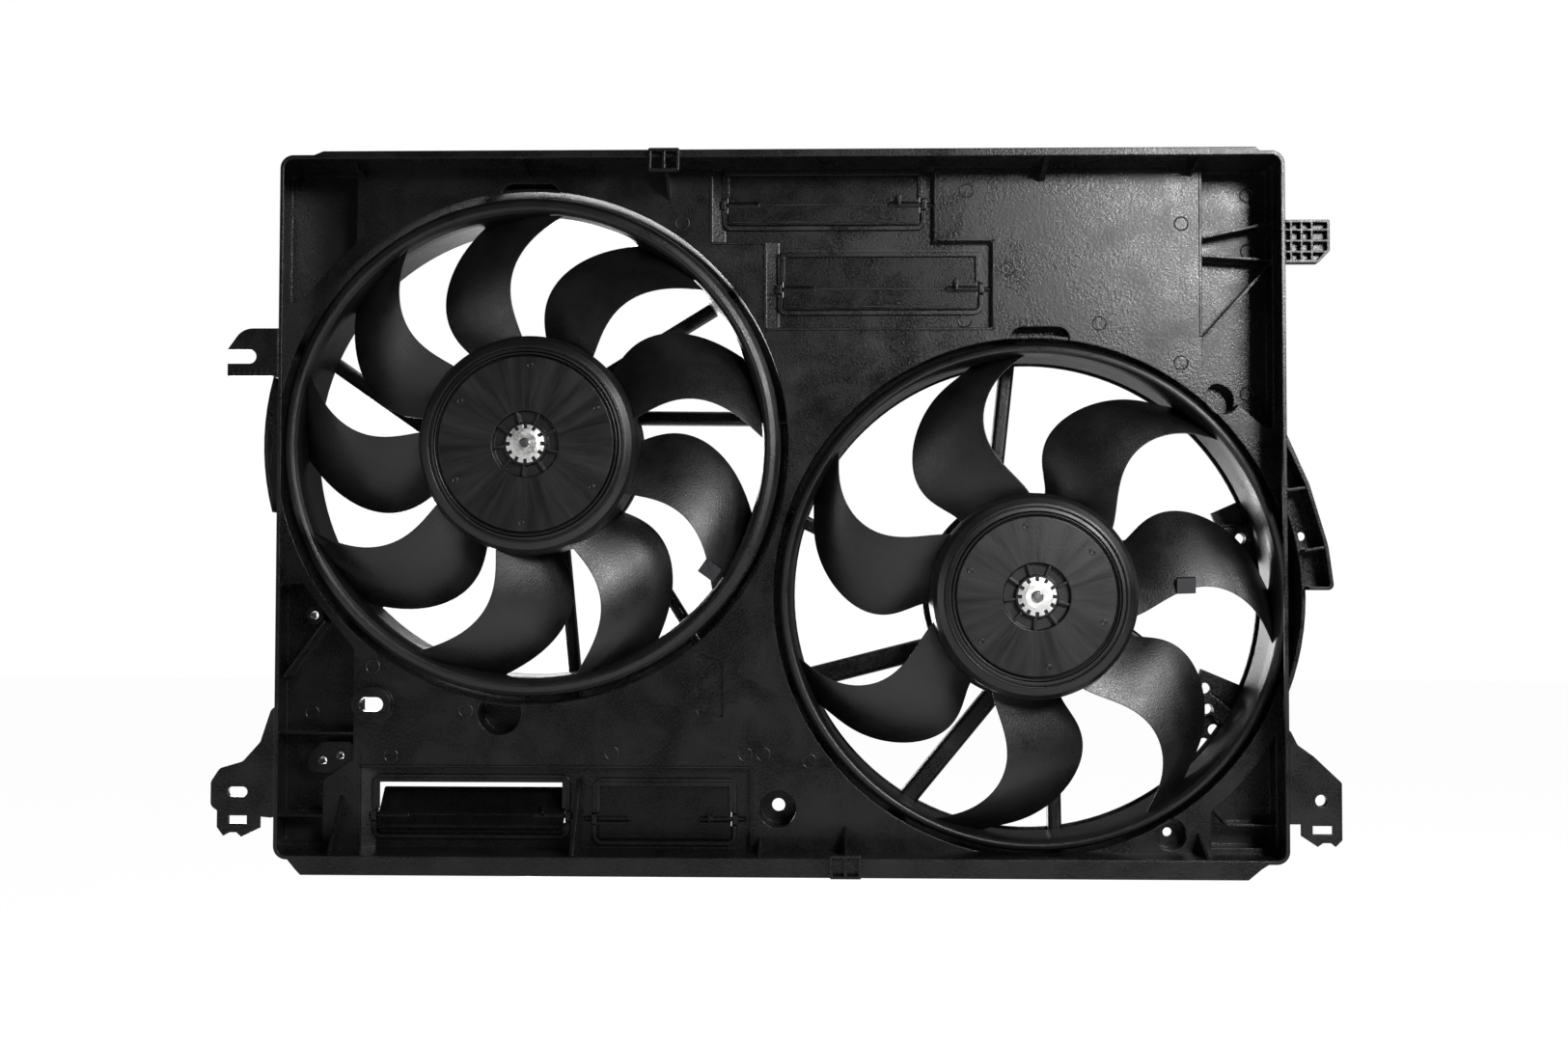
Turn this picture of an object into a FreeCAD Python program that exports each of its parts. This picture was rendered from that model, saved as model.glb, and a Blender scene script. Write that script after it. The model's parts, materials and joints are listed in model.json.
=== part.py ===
import FreeCAD, Part
import os
from math import asin, atan2, cos, degrees, hypot, pi, radians, sin, sqrt, tan

# Twin-fan radiator shroud, in millimetres.
# X runs to the right seen from the radiator, Y runs rearwards to the engine, Z runs up.
# The drawing is made about the centre of the front rim, whose plane is Y = 0. The finished pieces are
# moved so that the origin lies in the lower right mounting hole.

# ---- fans ---------------------------------------------------------------------------------------
OPENING_RADIUS = 182.0        # fan opening in the panel and inside of the barrel
BARREL_WALL = 2.4
BARREL_REAR = 88.6
BARREL_LIP = 14.0             # how far the barrel's rear lip reaches inwards
BARREL_GAP = 0.2              # least distance between the two barrels
FAN_STEP = 105.4              # how much higher the left fan stands
FAN_LEVEL = -9.5              # height of the middle between the fans
FAN_MIDDLE = 0.8              # sideways place of the middle between the fans
HUB_FRONT = 11.0              # front face of the hubs
HUB_REAR = 54.0
HUB_WALL = 3.0
BAND_FRONT = 28.0             # crest of the ring that joins the blade tips
BAND_REAR = 78.0
BAND_WALL = 2.5
SHAFT_RADIUS = 4.0
FIT = 0.05                    # radial clearance of a running fit
SEAT = 0.03                   # radial clearance of a pressed or glued seat
GAP = 0.3                     # ordinary gap between separate pieces

BARREL_OUT = OPENING_RADIUS + BARREL_WALL
FAN_SPREAD = sqrt((2 * BARREL_OUT + BARREL_GAP) ** 2 - FAN_STEP ** 2)

# Each blade runs through six stations from inside the hub to outside the band: the angle of its middle
# and its chord in degrees, and the depths of its leading edge and its rise to the trailing edge.
# Each strut has the angle of its outer end, its offset from the fan's axis and its width. A plate widens
# a strut at the barrel: its middle angle, its half width in degrees and its reach inwards. A plate hole
# has its distance inwards from the barrel and its angle.
LEFT_FAN = {"name": "left", "x": FAN_MIDDLE - FAN_SPREAD / 2, "z": FAN_LEVEL + FAN_STEP / 2, "blades": 9,
            "hub": 77.0, "groove": 12.0, "tip_gap": 5.5, "roll": 7.0, "mouth": 6.5,
            "middle": (27.5, 31.2, 30.4, 25.3, 17.0, 8.8), "chord": (31.0, 30.7, 28.6, 25.9, 22.9, 19.5),
            "lead": (20.0, 20.0, 19.5, 19.5, 22.0, 36.0), "rise": (31.0, 31.0, 31.0, 30.5, 28.0, 20.0),
            "clip": (0.84, 8),
            "struts": ((7.5, 25.0, 10.0), (38.9, 23.0, 9.6), (102.0, 24.0, 10.0), (156.3, 36.0, 10.6),
                       (222.0, 24.0, 10.0), (278.4, 9.0, 8.5), (309.4, 23.0, 8.5)),
            "plates": (), "plate_holes": ()}
RIGHT_FAN = {"name": "right", "x": FAN_MIDDLE + FAN_SPREAD / 2, "z": FAN_LEVEL - FAN_STEP / 2, "blades": 7,
             "hub": 72.0, "groove": 13.0, "tip_gap": 4.5, "roll": 4.5, "mouth": 4.0,
             "middle": (9.0, 15.4, 17.7, 13.5, 4.1, -8.5), "chord": (45.0, 35.5, 29.6, 23.6, 17.4, 12.0),
             "lead": (31.0, 31.0, 31.0, 31.5, 33.0, 38.0), "rise": (25.0, 25.0, 25.0, 25.0, 24.0, 20.0),
             "clip": (0.37, 0),
             "struts": ((15.5, 22.0, 15.0), (93.6, 31.0, 10.6), (161.0, 24.0, 10.0), (200.5, 19.4, 15.0),
                        (239.1, 27.0, 13.5), (276.5, 18.0, 10.0), (328.5, 22.0, 15.0)),
             "plates": ((16.0, 7.9, 34.0), (328.2, 9.2, 44.0)),
             "plate_holes": ((21.4, 15.0), (35.8, 332.7), (27.5, 328.0), (15.0, 324.5), (14.5, 320.3))}
FANS = (LEFT_FAN, RIGHT_FAN)
for wheel in FANS:
    wheel["lip"] = OPENING_RADIUS - wheel["tip_gap"]
    wheel["crest"] = wheel["lip"] - wheel["roll"]
    wheel["throat"] = wheel["crest"] - wheel["mouth"]
    wheel["disc"] = wheel["hub"] - wheel["groove"] - 4.0

# ---- moulded tray -------------------------------------------------------------------------------
RIM_INSET = 15.2              # how far the barrels stand out past the front rim
TOP_MARGIN = 15.6             # from the left barrel up to the outside of the top wall
BOTTOM_CUT = 3.8              # how far the right barrel reaches below the bottom wall
RIM_HALF_WIDTH = FAN_SPREAD / 2 + BARREL_OUT - RIM_INSET
RIM_TOP = LEFT_FAN["z"] + BARREL_OUT + TOP_MARGIN
RIM_BOTTOM = RIGHT_FAN["z"] - BARREL_OUT + BOTTOM_CUT
RIM_CORNER = 9.0              # outside corner radius of the rim
WALL = 2.6                    # moulded wall of the tray
LEFT_FLARE = 10.8             # how far the left wall leans out on its way back to the panel
RIGHT_FLARE = 6.1
PANEL_FRONT = 36.0            # depth of the panel's front face
PANEL_WALL = 2.6
TOP_FLANGE = 2.6              # height of the sealing lip above the top wall
BOTTOM_FLANGE = 10.5          # height of the sealing lip below the bottom wall
FLANGE_WALL = 2.6
POCKET_FLOOR = 54.0           # depth of the corner pockets' floors
RIB = 1.8                     # thickness of the stiffening ribs
WALL_CUT = 8.0                # depth from which the fan openings cut through the side walls
BULGE_FRONT = 16.0            # front edge of the side wall where it bulges round a fan


def left(distance):
    """Place measured inwards from the outside of the rim's left side."""
    return -RIM_HALF_WIDTH + distance


def right(distance):
    """Place measured inwards from the outside of the rim's right side."""
    return RIM_HALF_WIDTH - distance


def top(distance):
    """Place measured down from the outside of the top wall."""
    return RIM_TOP - distance


def bottom(distance):
    """Place measured up from the outside of the bottom wall."""
    return RIM_BOTTOM + distance


def around(fan, margin, angle):
    """Place measured outwards from a fan's barrel, at an angle anticlockwise from +X."""
    radius = BARREL_OUT + margin
    return fan["x"] + radius * cos(radians(angle)), fan["z"] + radius * sin(radians(angle))


# ---- motors -------------------------------------------------------------------------------------
MOTOR_RADIUS = 57.0
MOTOR_FRONT = 36.0
MOTOR_REAR = 96.0
CASE_WALL = 2.0
MOUNT_FRONT = 80.0            # front face of the motor mount ring and its struts
MOUNT_REAR = 90.0
LUG_RADIUS = 9.0              # radius of the motor's screw lugs
SCREW_RADIUS = 2.5
LUG_CIRCLE = MOTOR_RADIUS + LUG_RADIUS      # radius of the circle of the three motor screws
MOUNT_RING = LUG_CIRCLE + LUG_RADIUS        # outside radius of the motor mount ring

# ---- ram-air flaps ------------------------------------------------------------------------------
BOX_FLOOR = 42.0              # depth of the recessed frames round the flaps
FLAP_WALL = 2.0
FLAP_GAP = 0.4                # gap between a flap and its opening
PIN_RADIUS = 1.6
HINGE_DEPTH = BOX_FLOOR - 0.6
LEDGE = 1.6                   # overlap of the ledges that a shut flap rests against
FLAP_REST_OPEN = 45.0         # the lower left flap stands part open
FLAPS = {"upper_left": {"x": (-37.7, 99.2), "z": (top(42.3), top(5.2)), "hinge": top(27.8), "open": 0.0},
         "upper_right": {"x": (1.8, 139.8), "z": (top(102.7), top(63.5)), "hinge": top(88.0), "open": 0.0},
         "lower_left": {"x": (left(61.8), left(194.5)), "z": (bottom(12.8), bottom(50.4)),
                        "hinge": bottom(25.2), "open": FLAP_REST_OPEN},
         "lower_right": {"x": (left(218.0), left(312.3)), "z": (bottom(8.8), bottom(48.1)),
                         "hinge": bottom(23.4), "open": 0.0}}
PIN_REACH = 10.0              # how far a flap's pins reach over the frame on each side

# ---- mounts -------------------------------------------------------------------------------------
TAB_WALL = 3.0
MOUNT_HOLE = (right(-21.0), bottom(43.3))   # lower right hole, which is the origin
MOUNT_HOLE_RADIUS = 4.0
SLOT_CENTRE = (left(-25.0), bottom(46.0))
SLOT_LENGTH = 14.0
SLOT_WIDTH = 7.0
FORK_CENTRE = (left(-20.2), top(140.3))
FORK_WIDTH = 9.8
GRID_TAB = (right(0.0), top(62.5))
TOP_CLIP = -79.0              # sideways place of the hose clip on the top lip
BOTTOM_CLIP = 46.0

EPS = 0.5                     # overrun of a cutting tool
DEEP = 200.0                  # far enough to cut through everything behind a face
FAR = 2 * RIM_HALF_WIDTH      # far enough sideways to take in the whole shroud
Y_AXIS = FreeCAD.Vector(0, 1, 0)


# ---- drawing helpers ----------------------------------------------------------------------------
def vec(x, y, z):
    return FreeCAD.Vector(x, y, z)


def rounded_wire(points, radius, to_space):
    """Closed wire through 2-D points with every corner rounded by a tangent arc."""
    count = len(points)
    edges = []
    starts = []
    ends = []
    mids = []
    for i in range(count):
        corner = points[i]
        before = points[i - 1]
        after = points[(i + 1) % count]
        size = corner[2] if len(corner) > 2 else radius
        ax, az = before[0] - corner[0], before[1] - corner[1]
        bx, bz = after[0] - corner[0], after[1] - corner[1]
        la, lb = hypot(ax, az), hypot(bx, bz)
        ax, az, bx, bz = ax / la, az / la, bx / lb, bz / lb
        half = 0.5 * abs(atan2(ax * bz - az * bx, ax * bx + az * bz))
        if size <= 0 or half < 1e-6 or abs(half - pi / 2) < 1e-6:
            starts.append((corner[0], corner[1]))
            ends.append((corner[0], corner[1]))
            mids.append(None)
            continue
        back = min(size / tan(half), 0.49 * la, 0.49 * lb)
        size = back * tan(half)
        starts.append((corner[0] + ax * back, corner[1] + az * back))
        ends.append((corner[0] + bx * back, corner[1] + bz * back))
        mx, mz = ax + bx, az + bz
        lm = hypot(mx, mz)
        reach = size / sin(half) - size
        mids.append((corner[0] + mx / lm * reach, corner[1] + mz / lm * reach))
    for i in range(count):
        if mids[i]:
            edges.append(Part.Arc(to_space(starts[i]), to_space(mids[i]), to_space(ends[i])).toShape())
        a, b = ends[i], starts[(i + 1) % count]
        if hypot(a[0] - b[0], a[1] - b[1]) > 1e-6:
            edges.append(Part.makeLine(to_space(a), to_space(b)))
    return Part.Wire(edges)


def prism(points, y0, y1, radius=0.0):
    """Outline in X and Z, pushed from depth y0 to depth y1."""
    wire = rounded_wire(points, radius, lambda p: vec(p[0], y0, p[1]))
    return Part.Face(wire).extrude(vec(0, y1 - y0, 0))


def prism_x(points, x0, x1, radius=0.0):
    """Outline in Y and Z, pushed from x0 to x1."""
    wire = rounded_wire(points, radius, lambda p: vec(x0, p[0], p[1]))
    return Part.Face(wire).extrude(vec(x1 - x0, 0, 0))


def rect(x0, x1, z0, z1):
    return [(x0, z0), (x1, z0), (x1, z1), (x0, z1)]


def block(x0, x1, y0, y1, z0, z1, radius=0.0):
    return prism(rect(x0, x1, z0, z1), y0, y1, radius)


def drum(x, z, radius, y0, y1):
    """Cylinder along Y."""
    return Part.makeCylinder(radius, y1 - y0, vec(x, y0, z), Y_AXIS)


def sleeve(x, z, outer, inner, y0, y1):
    return drum(x, z, outer, y0, y1).cut(drum(x, z, inner, y0 - EPS, y1 + EPS))


def slot(x, z, length, width, y0, y1):
    """Straight slot with round ends, along X."""
    side = 0.5 * (length - width)
    body = block(x - side, x + side, y0, y1, z - width / 2, z + width / 2)
    return body.fuse([drum(x - side, z, width / 2, y0, y1), drum(x + side, z, width / 2, y0, y1)])


def turned(profile, x=0.0, z=0.0):
    """Solid of revolution about a Y axis through (x, z); the profile is a list of (radius, depth)."""
    points = [vec(r, y, 0) for r, y in profile]
    face = Part.Face(Part.makePolygon(points + points[:1]))
    solid = face.revolve(vec(0, 0, 0), Y_AXIS, 360)
    solid.translate(vec(x, 0, z))
    return solid


def spun(shape, fan, angle):
    """Copy turned about the fan's axis; angles run anticlockwise seen from the front."""
    copy = shape.copy()
    copy.rotate(vec(fan["x"], 0, fan["z"]), Y_AXIS, -angle)
    return copy


def polar(fan, radius, angle):
    return fan["x"] + radius * cos(radians(angle)), fan["z"] + radius * sin(radians(angle))


def joined(shapes):
    body = shapes[0].fuse(list(shapes[1:])) if len(shapes) > 1 else shapes[0]
    return body.removeSplitter()


def rib_between(start, end, y0, y1, width=RIB):
    """Straight rib with its mid-line from start to end in X and Z."""
    dx, dz = end[0] - start[0], end[1] - start[1]
    length = hypot(dx, dz)
    nx, nz = -dz / length * width / 2, dx / length * width / 2
    outline = [(start[0] + nx, start[1] + nz), (start[0] - nx, start[1] - nz),
               (end[0] - nx, end[1] - nz), (end[0] + nx, end[1] + nz)]
    return prism(outline, y0, y1)


def prism_z(points, z0, z1):
    """Outline in X and Y, pushed from z0 to z1."""
    wire = rounded_wire(points, 0.0, lambda p: vec(p[0], p[1], z0))
    return Part.Face(wire).extrude(vec(0, 0, z1 - z0))


def placed(points, anchor):
    """Outline drawn about an anchor point, moved to it; corner radii stay as they are."""
    return [(anchor[0] + point[0], anchor[1] + point[1]) + tuple(point[2:]) for point in points]


def gusset(x, wall_z, reach, y0, y1, width=RIB):
    """Triangular rib between a top or bottom wall and the panel."""
    outline = [(y0, wall_z), (y1, wall_z), (y1, wall_z + reach)]
    return prism_x(outline, x - width / 2, x + width / 2)


# ---- tray ---------------------------------------------------------------------------------------
TOP_IN = RIM_TOP - WALL
BOTTOM_IN = RIM_BOTTOM + WALL
SIDE_IN = RIM_HALF_WIDTH - WALL
LEFT_IN = -SIDE_IN - LEFT_FLARE       # inside of the left wall at the panel
RIGHT_IN = SIDE_IN + RIGHT_FLARE
PANEL_REAR = PANEL_FRONT + PANEL_WALL
LIP_ENDS = 20.0               # how far the sealing lips stop short of the rim's ends


def tray_block(grow, y_front, y_rear):
    """Flared block of the tray's inside, grown all round by a wall."""
    def section(y, x0, x1):
        corner = max(RIM_CORNER - WALL + grow, 1.0)
        points = rect(x0 - grow, x1 + grow, BOTTOM_IN - grow, TOP_IN + grow)
        return rounded_wire(points, corner, lambda p: vec(p[0], y, p[1]))

    def side(y, flare):
        return SIDE_IN + flare * y / PANEL_FRONT

    front = section(y_front, -side(y_front, LEFT_FLARE), side(y_front, RIGHT_FLARE))
    rear = section(y_rear, -side(y_rear, LEFT_FLARE), side(y_rear, RIGHT_FLARE))
    return Part.makeLoft([front, rear], True, True)


def fan_drums(radius, y0, y1):
    return [drum(fan["x"], fan["z"], radius, y0, y1) for fan in FANS]


def tray_outline(y0, y1):
    """Prism of the panel's outside: the tray's rear outline with both barrels' bulges."""
    points = rect(LEFT_IN - WALL, RIGHT_IN + WALL, RIM_BOTTOM, RIM_TOP)
    return joined([prism(points, y0, y1, RIM_CORNER)] + fan_drums(BARREL_OUT, y0, y1))


def bulge_walls(fan, side):
    """Side wall that goes round the fan where the opening is wider than the tray."""
    wall_x = LEFT_IN if side < 0 else RIGHT_IN
    reach = abs(wall_x - fan["x"])
    half = sqrt(BARREL_OUT ** 2 - reach ** 2)
    ring = sleeve(fan["x"], fan["z"], BARREL_OUT, OPENING_RADIUS, BULGE_FRONT, PANEL_FRONT)
    outer = wall_x + side * BARREL_OUT
    keep = block(min(wall_x, outer), max(wall_x, outer), BULGE_FRONT, PANEL_FRONT,
                 fan["z"] - half, fan["z"] + half)
    return ring.common(keep)


def sealing_lips():
    """Flat lips that stand up from the top wall and down from the bottom wall, with cut-off ends."""
    high = RIM_TOP + TOP_FLANGE
    low = RIM_BOTTOM - BOTTOM_FLANGE
    top_lip = [(left(LIP_ENDS - 3.0), TOP_IN), (right(LIP_ENDS - 6.0), TOP_IN), (right(LIP_ENDS), high),
               (left(LIP_ENDS + 10.0), high)]
    bottom_lip = [(left(LIP_ENDS - 12.5), BOTTOM_IN), (right(LIP_ENDS - 10.0), BOTTOM_IN),
                  (right(LIP_ENDS - 1.0), RIM_BOTTOM - 3.0), (right(LIP_ENDS + 8.0), low),
                  (left(LIP_ENDS - 1.0), low), (left(LIP_ENDS - 4.0), low + 3.0)]
    return [prism(top_lip, 0.0, FLANGE_WALL), prism(bottom_lip, 0.0, FLANGE_WALL)]


def wall_gussets():
    """Ribs that stiffen the top and bottom walls: place, reach along the panel and thickness."""
    above = ((left(49.0), 5.0, RIB), (left(168.0), 7.0, RIB), (TOP_CLIP, 22.0, RIB),
             (right(161.3), 10.0, 4.0), (right(57.0), 7.0, RIB))
    below = ((left(37.4), 37.0, 2.4), (left(204.7), 48.0, 3.0), (left(332.4), 9.0, RIB),
             (BOTTOM_CLIP, 17.0, RIB), (right(54.0), 14.0, RIB))
    ribs = [gusset(x, TOP_IN, -reach, 2.0, PANEL_FRONT, width) for x, reach, width in above]
    return ribs + [gusset(x, BOTTOM_IN, reach, 2.0, PANEL_FRONT, width) for x, reach, width in below]


def perimeter_wall():
    """Wall round the tray with its sealing lips, open where the fan openings cut through it."""
    shell = tray_block(WALL, 0.0, PANEL_FRONT).fuse(sealing_lips())
    shell = shell.cut(tray_block(0.0, -EPS, PANEL_FRONT + EPS))
    openings = fan_drums(OPENING_RADIUS, WALL_CUT, PANEL_FRONT + EPS)
    belt = block(-FAR, FAR, -EPS, PANEL_FRONT + EPS, bottom(30.0), top(10.0))
    shell = shell.cut([opening.common(belt) for opening in openings])
    for fan, side in ((LEFT_FAN, -1), (RIGHT_FAN, 1)):
        shell = shell.fuse(bulge_walls(fan, side))
    return joined([shell] + wall_gussets())


# ---- panel --------------------------------------------------------------------------------------
POCKET_EDGE = right(49.0)             # inner sides of the corner pockets
LOW_EDGE = left(45.0)
STEP_EDGE = left(23.5)
LOW_END = bottom(5.8)
POCKET_START = around(LEFT_FAN, 4.8, 211.1)
PANEL_POCKETS = {
    "upper_left": ([(LEFT_IN, TOP_IN), (left(44.5), TOP_IN), (left(44.0), top(54.2)), (left(3.0), top(97.2)),
                    (LEFT_IN, top(97.2))], POCKET_FLOOR),
    "right": ([(POCKET_EDGE, TOP_IN), around(RIGHT_FAN, 13.8, 53.0), around(RIGHT_FAN, 12.0, 47.2),
               around(RIGHT_FAN, 15.8, 37.25), (right(0.0), around(RIGHT_FAN, 19.6, 34.4)[1]),
               (right(0.0), TOP_IN)], POCKET_FLOOR),
    "lower_left": ([(LEFT_IN, POCKET_START[1]), POCKET_START, around(LEFT_FAN, 4.2, 215.0),
                    around(LEFT_FAN, 5.7, 228.9), (LOW_EDGE, bottom(64.8)), (STEP_EDGE, bottom(50.3)),
                    (STEP_EDGE, LOW_END), (LEFT_IN, LOW_END)], POCKET_FLOOR),
    "tilted": ([around(LEFT_FAN, 1.6, 309.2), around(LEFT_FAN, 19.3, 312.1), around(LEFT_FAN, 51.0, 305.5),
                around(LEFT_FAN, 37.0, 302.05)], PANEL_FRONT + 3.0)}
NOTCH_HALF = 21.0             # half the width of the bumps on the fan openings' edges
NOTCH_FLOOR = 50.0
NOTCHES = ((LEFT_FAN, -1.4, 5.2), (RIGHT_FAN, 5.6, 7.9))      # fan, sideways place, height


def well(place, radius, floor):
    return {"x": place[0], "z": place[1], "radius": radius, "floor": floor}


WELLS = (well(around(RIGHT_FAN, 8.3, 46.3), 11.8, 66.0), well(around(LEFT_FAN, 5.1, 263.5), 15.3, 60.0))
BOSS_WELLS = (dict(well((-1.2, bottom(31.3)), 13.0, 60.0), hole=4.7),
              dict(well((right(73.1), bottom(14.8)), 11.0, 50.0), hole=3.2))
FLAP_BOXES = (rect(-48.1, 108.5, top(54.9), TOP_IN), rect(-9.7, 149.6, top(116.0), top(54.9)),
              rect(left(51.0), left(325.7), BOTTOM_IN, bottom(59.1)))
BOX_RAMP = 9.5                # sideways run of the slope at the left end of each flap box
SLOT_BOSS = around(LEFT_FAN, 28.9, 238.6)
PLATE_HOLE = around(LEFT_FAN, 11.7, 217.65)
OVAL_BOSS = (left(28.0), bottom(64.8))


def grown(points, amount):
    """Outline moved outwards by a wall, as a list of corners."""
    count = len(points)
    area = sum(points[i - 1][0] * points[i][1] - points[i][0] * points[i - 1][1] for i in range(count))
    turn = 1.0 if area > 0 else -1.0
    result = []
    for i in range(count):
        (x0, z0), (x1, z1), (x2, z2) = points[i - 1], points[i], points[(i + 1) % count]
        l1, l2 = hypot(x1 - x0, z1 - z0), hypot(x2 - x1, z2 - z1)
        n1 = ((z1 - z0) / l1 * turn, -(x1 - x0) / l1 * turn)
        n2 = ((z2 - z1) / l2 * turn, -(x2 - x1) / l2 * turn)
        scale = amount / (1.0 + n1[0] * n2[0] + n1[1] * n2[1])
        result.append((x1 + (n1[0] + n2[0]) * scale, z1 + (n1[1] + n2[1]) * scale))
    return result


def grown_round(points, amount):
    """The same for an outline whose corners carry their own radii."""
    plain = grown([point[:2] for point in points], amount)
    return [(new[0], new[1], old[2] + amount if old[2] else 0.0) for new, old in zip(plain, points)]


def lower_right_pocket(grow, y0, floor):
    """Corner pocket beside the right fan; its inner side follows the opening."""
    high = RIGHT_FAN["z"] - 65.8
    corner = block(right(45.0) - grow, right(0.0) + grow, y0, floor, LOW_END - grow, high + grow)
    return corner.cut(drum(RIGHT_FAN["x"], RIGHT_FAN["z"], BARREL_OUT + 9.6 - grow, y0 - EPS, floor + EPS))


def notch(fan, across, height, grow, y0, floor):
    """Rounded bump on the edge of a fan opening, hollow to its floor."""
    x, edge = fan["x"] + across, fan["z"] + OPENING_RADIUS
    outline = [(x - NOTCH_HALF, edge - 12.0, 0.0), (x + NOTCH_HALF, edge - 12.0, 0.0),
               (x + NOTCH_HALF, edge + height, 9.0), (x - NOTCH_HALF, edge + height, 9.0)]
    return prism(grown_round(outline, grow), y0, floor)


def flap_box(points, grow, y0, floor):
    """Recessed frame of a pair of flaps, or of one flap."""
    return prism(grown(points, grow), y0, floor, 1.5)


def panel_recesses(grow, y0, extra):
    """All hollows pressed into the panel, grown sideways and backwards by its wall."""
    hollows = [prism(grown(points, grow), y0, floor + extra, 3.0) for points, floor in
               PANEL_POCKETS.values()]
    hollows += [notch(fan, across, height, grow, y0, NOTCH_FLOOR + extra) for fan, across, height in NOTCHES]
    hollows += [drum(item["x"], item["z"], item["radius"] + grow, y0, item["floor"] + extra)
                for item in WELLS + BOSS_WELLS]
    hollows += [flap_box(points, grow, y0, BOX_FLOOR + extra) for points in FLAP_BOXES]
    hollows.append(lower_right_pocket(grow, y0, POCKET_FLOOR + extra))
    return hollows


def pocket_ribs():
    """Ribs across the pockets, from their floors up to the panel's level."""
    corner = (right(33.5), bottom(21.3))
    lines = [((POCKET_EDGE, top(52.4)), (right(0.0), top(42.2))),
             ((POCKET_EDGE, top(65.2)), (right(0.0), top(68.7))),
             ((POCKET_EDGE, top(125.2)), (right(0.0), top(70.2))),
             (around(LEFT_FAN, 7.4, 220.1), around(LEFT_FAN, 56.0, 222.9)),
             ((LEFT_IN, bottom(83.2)), (LOW_EDGE, bottom(83.2))),
             ((LEFT_IN, bottom(24.8)), (STEP_EDGE, bottom(24.8))),
             ((right(45.0), bottom(35.8)), corner), (corner, (right(0.0), corner[1]))]
    return [rib_between(a, b, PANEL_FRONT + 1.0, POCKET_FLOOR + EPS) for a, b in lines]


def box_ramps():
    """Slopes that lead from the panel into the left end of each flap box."""
    ramps = []
    for points in FLAP_BOXES:
        x, low, high = points[0][0], points[0][1], points[2][1]
        outline = [(x - EPS, PANEL_FRONT), (x, PANEL_FRONT), (x + BOX_RAMP, BOX_FLOOR + EPS),
                   (x - EPS, BOX_FLOOR + EPS)]
        ramps.append(prism_z(outline, low, high))
    return ramps


def panel_bosses():
    """Raised bosses round the panel's fixing holes."""
    slot_x, slot_z = SLOT_BOSS
    hole_x, hole_z = PLATE_HOLE
    oval_x, oval_z = OVAL_BOSS
    oval = prism([(oval_x - 17, oval_z - 10), (oval_x + 8, oval_z - 10), (oval_x + 17, oval_z),
                  (oval_x + 17, oval_z + 12), (oval_x - 6, oval_z + 12), (oval_x - 17, oval_z + 2)],
                 PANEL_FRONT + 5.0, POCKET_FLOOR + EPS, 7.0)
    return [slot(slot_x, slot_z, 28.0, 25.0, PANEL_FRONT - 6.0, PANEL_REAR),
            drum(hole_x, hole_z, 6.5, PANEL_FRONT + 6.0, POCKET_FLOOR + EPS), oval]


def panel_holes():
    slot_x, slot_z = SLOT_BOSS
    hole_x, hole_z = PLATE_HOLE
    oval_x, oval_z = OVAL_BOSS
    deep = DEEP
    holes = [slot(slot_x, slot_z, 17.0, 10.0, 0.0, deep), drum(hole_x, hole_z, 3.0, 0.0, deep),
             drum(oval_x - 6.0, oval_z - 1.5, 3.0, 0.0, deep), drum(oval_x + 6.5, oval_z + 2.0, 2.7, 0.0, deep)]
    holes += [drum(item["x"], item["z"], item["hole"], 0.0, deep) for item in BOSS_WELLS]
    return holes


def flap_opening(flap):
    x0, x1 = flap["x"]
    z0, z1 = flap["z"]
    return block(x0, x1, PANEL_FRONT, BOX_FLOOR + 10.0, z0, z1, 2.0)


def flap_ledges(flap):
    """Ledges that a shut flap rests against: behind its lower half and in front of its upper half."""
    x0, x1 = flap["x"]
    z0, z1 = flap["z"]
    clear = 2 * PIN_RADIUS + FLAP_WALL
    low_end, high_start = flap["hinge"] - clear, flap["hinge"] + clear
    rear = HINGE_DEPTH + FLAP_WALL / 2 + GAP
    behind = block(x0 - EPS, x1 + EPS, rear, BOX_FLOOR + PANEL_WALL, z0 - EPS, low_end)
    behind = behind.cut(block(x0 + LEDGE, x1 - LEDGE, 0.0, DEEP, z0 + LEDGE, z1))
    front = HINGE_DEPTH - FLAP_WALL / 2 - GAP
    before = block(x0 - LEDGE, x1 + LEDGE, front - LEDGE, BOX_FLOOR + EPS, high_start, z1 + LEDGE)
    before = before.cut([block(x0 + LEDGE, x1 - LEDGE, 0.0, DEEP, z0, z1 - LEDGE),
                         block(x0, x1, front, DEEP, z0, z1)])
    return [behind, before]


def hinge_seats(flap):
    """Grooves in the frame for the flap's pins, and the straps that hold the pins in them."""
    grooves = []
    straps = []
    x0, x1 = flap["x"]
    z = flap["hinge"]
    groove = PIN_RADIUS + FIT
    for start, end, side in ((x0 - PIN_REACH, x0 + EPS, -1), (x1 - EPS, x1 + PIN_REACH, 1)):
        grooves.append(Part.makeCylinder(groove, end - start, vec(start, HINGE_DEPTH, z), vec(1, 0, 0)))
        edge = x0 if side < 0 else x1
        near, far = edge + side * 1.0, edge + side * 4.5
        straps.append(block(min(near, far), max(near, far), HINGE_DEPTH - groove - 1.4, BOX_FLOOR + EPS,
                            z - groove - 1.6, z + groove + 1.6))
    return grooves, straps


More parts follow.
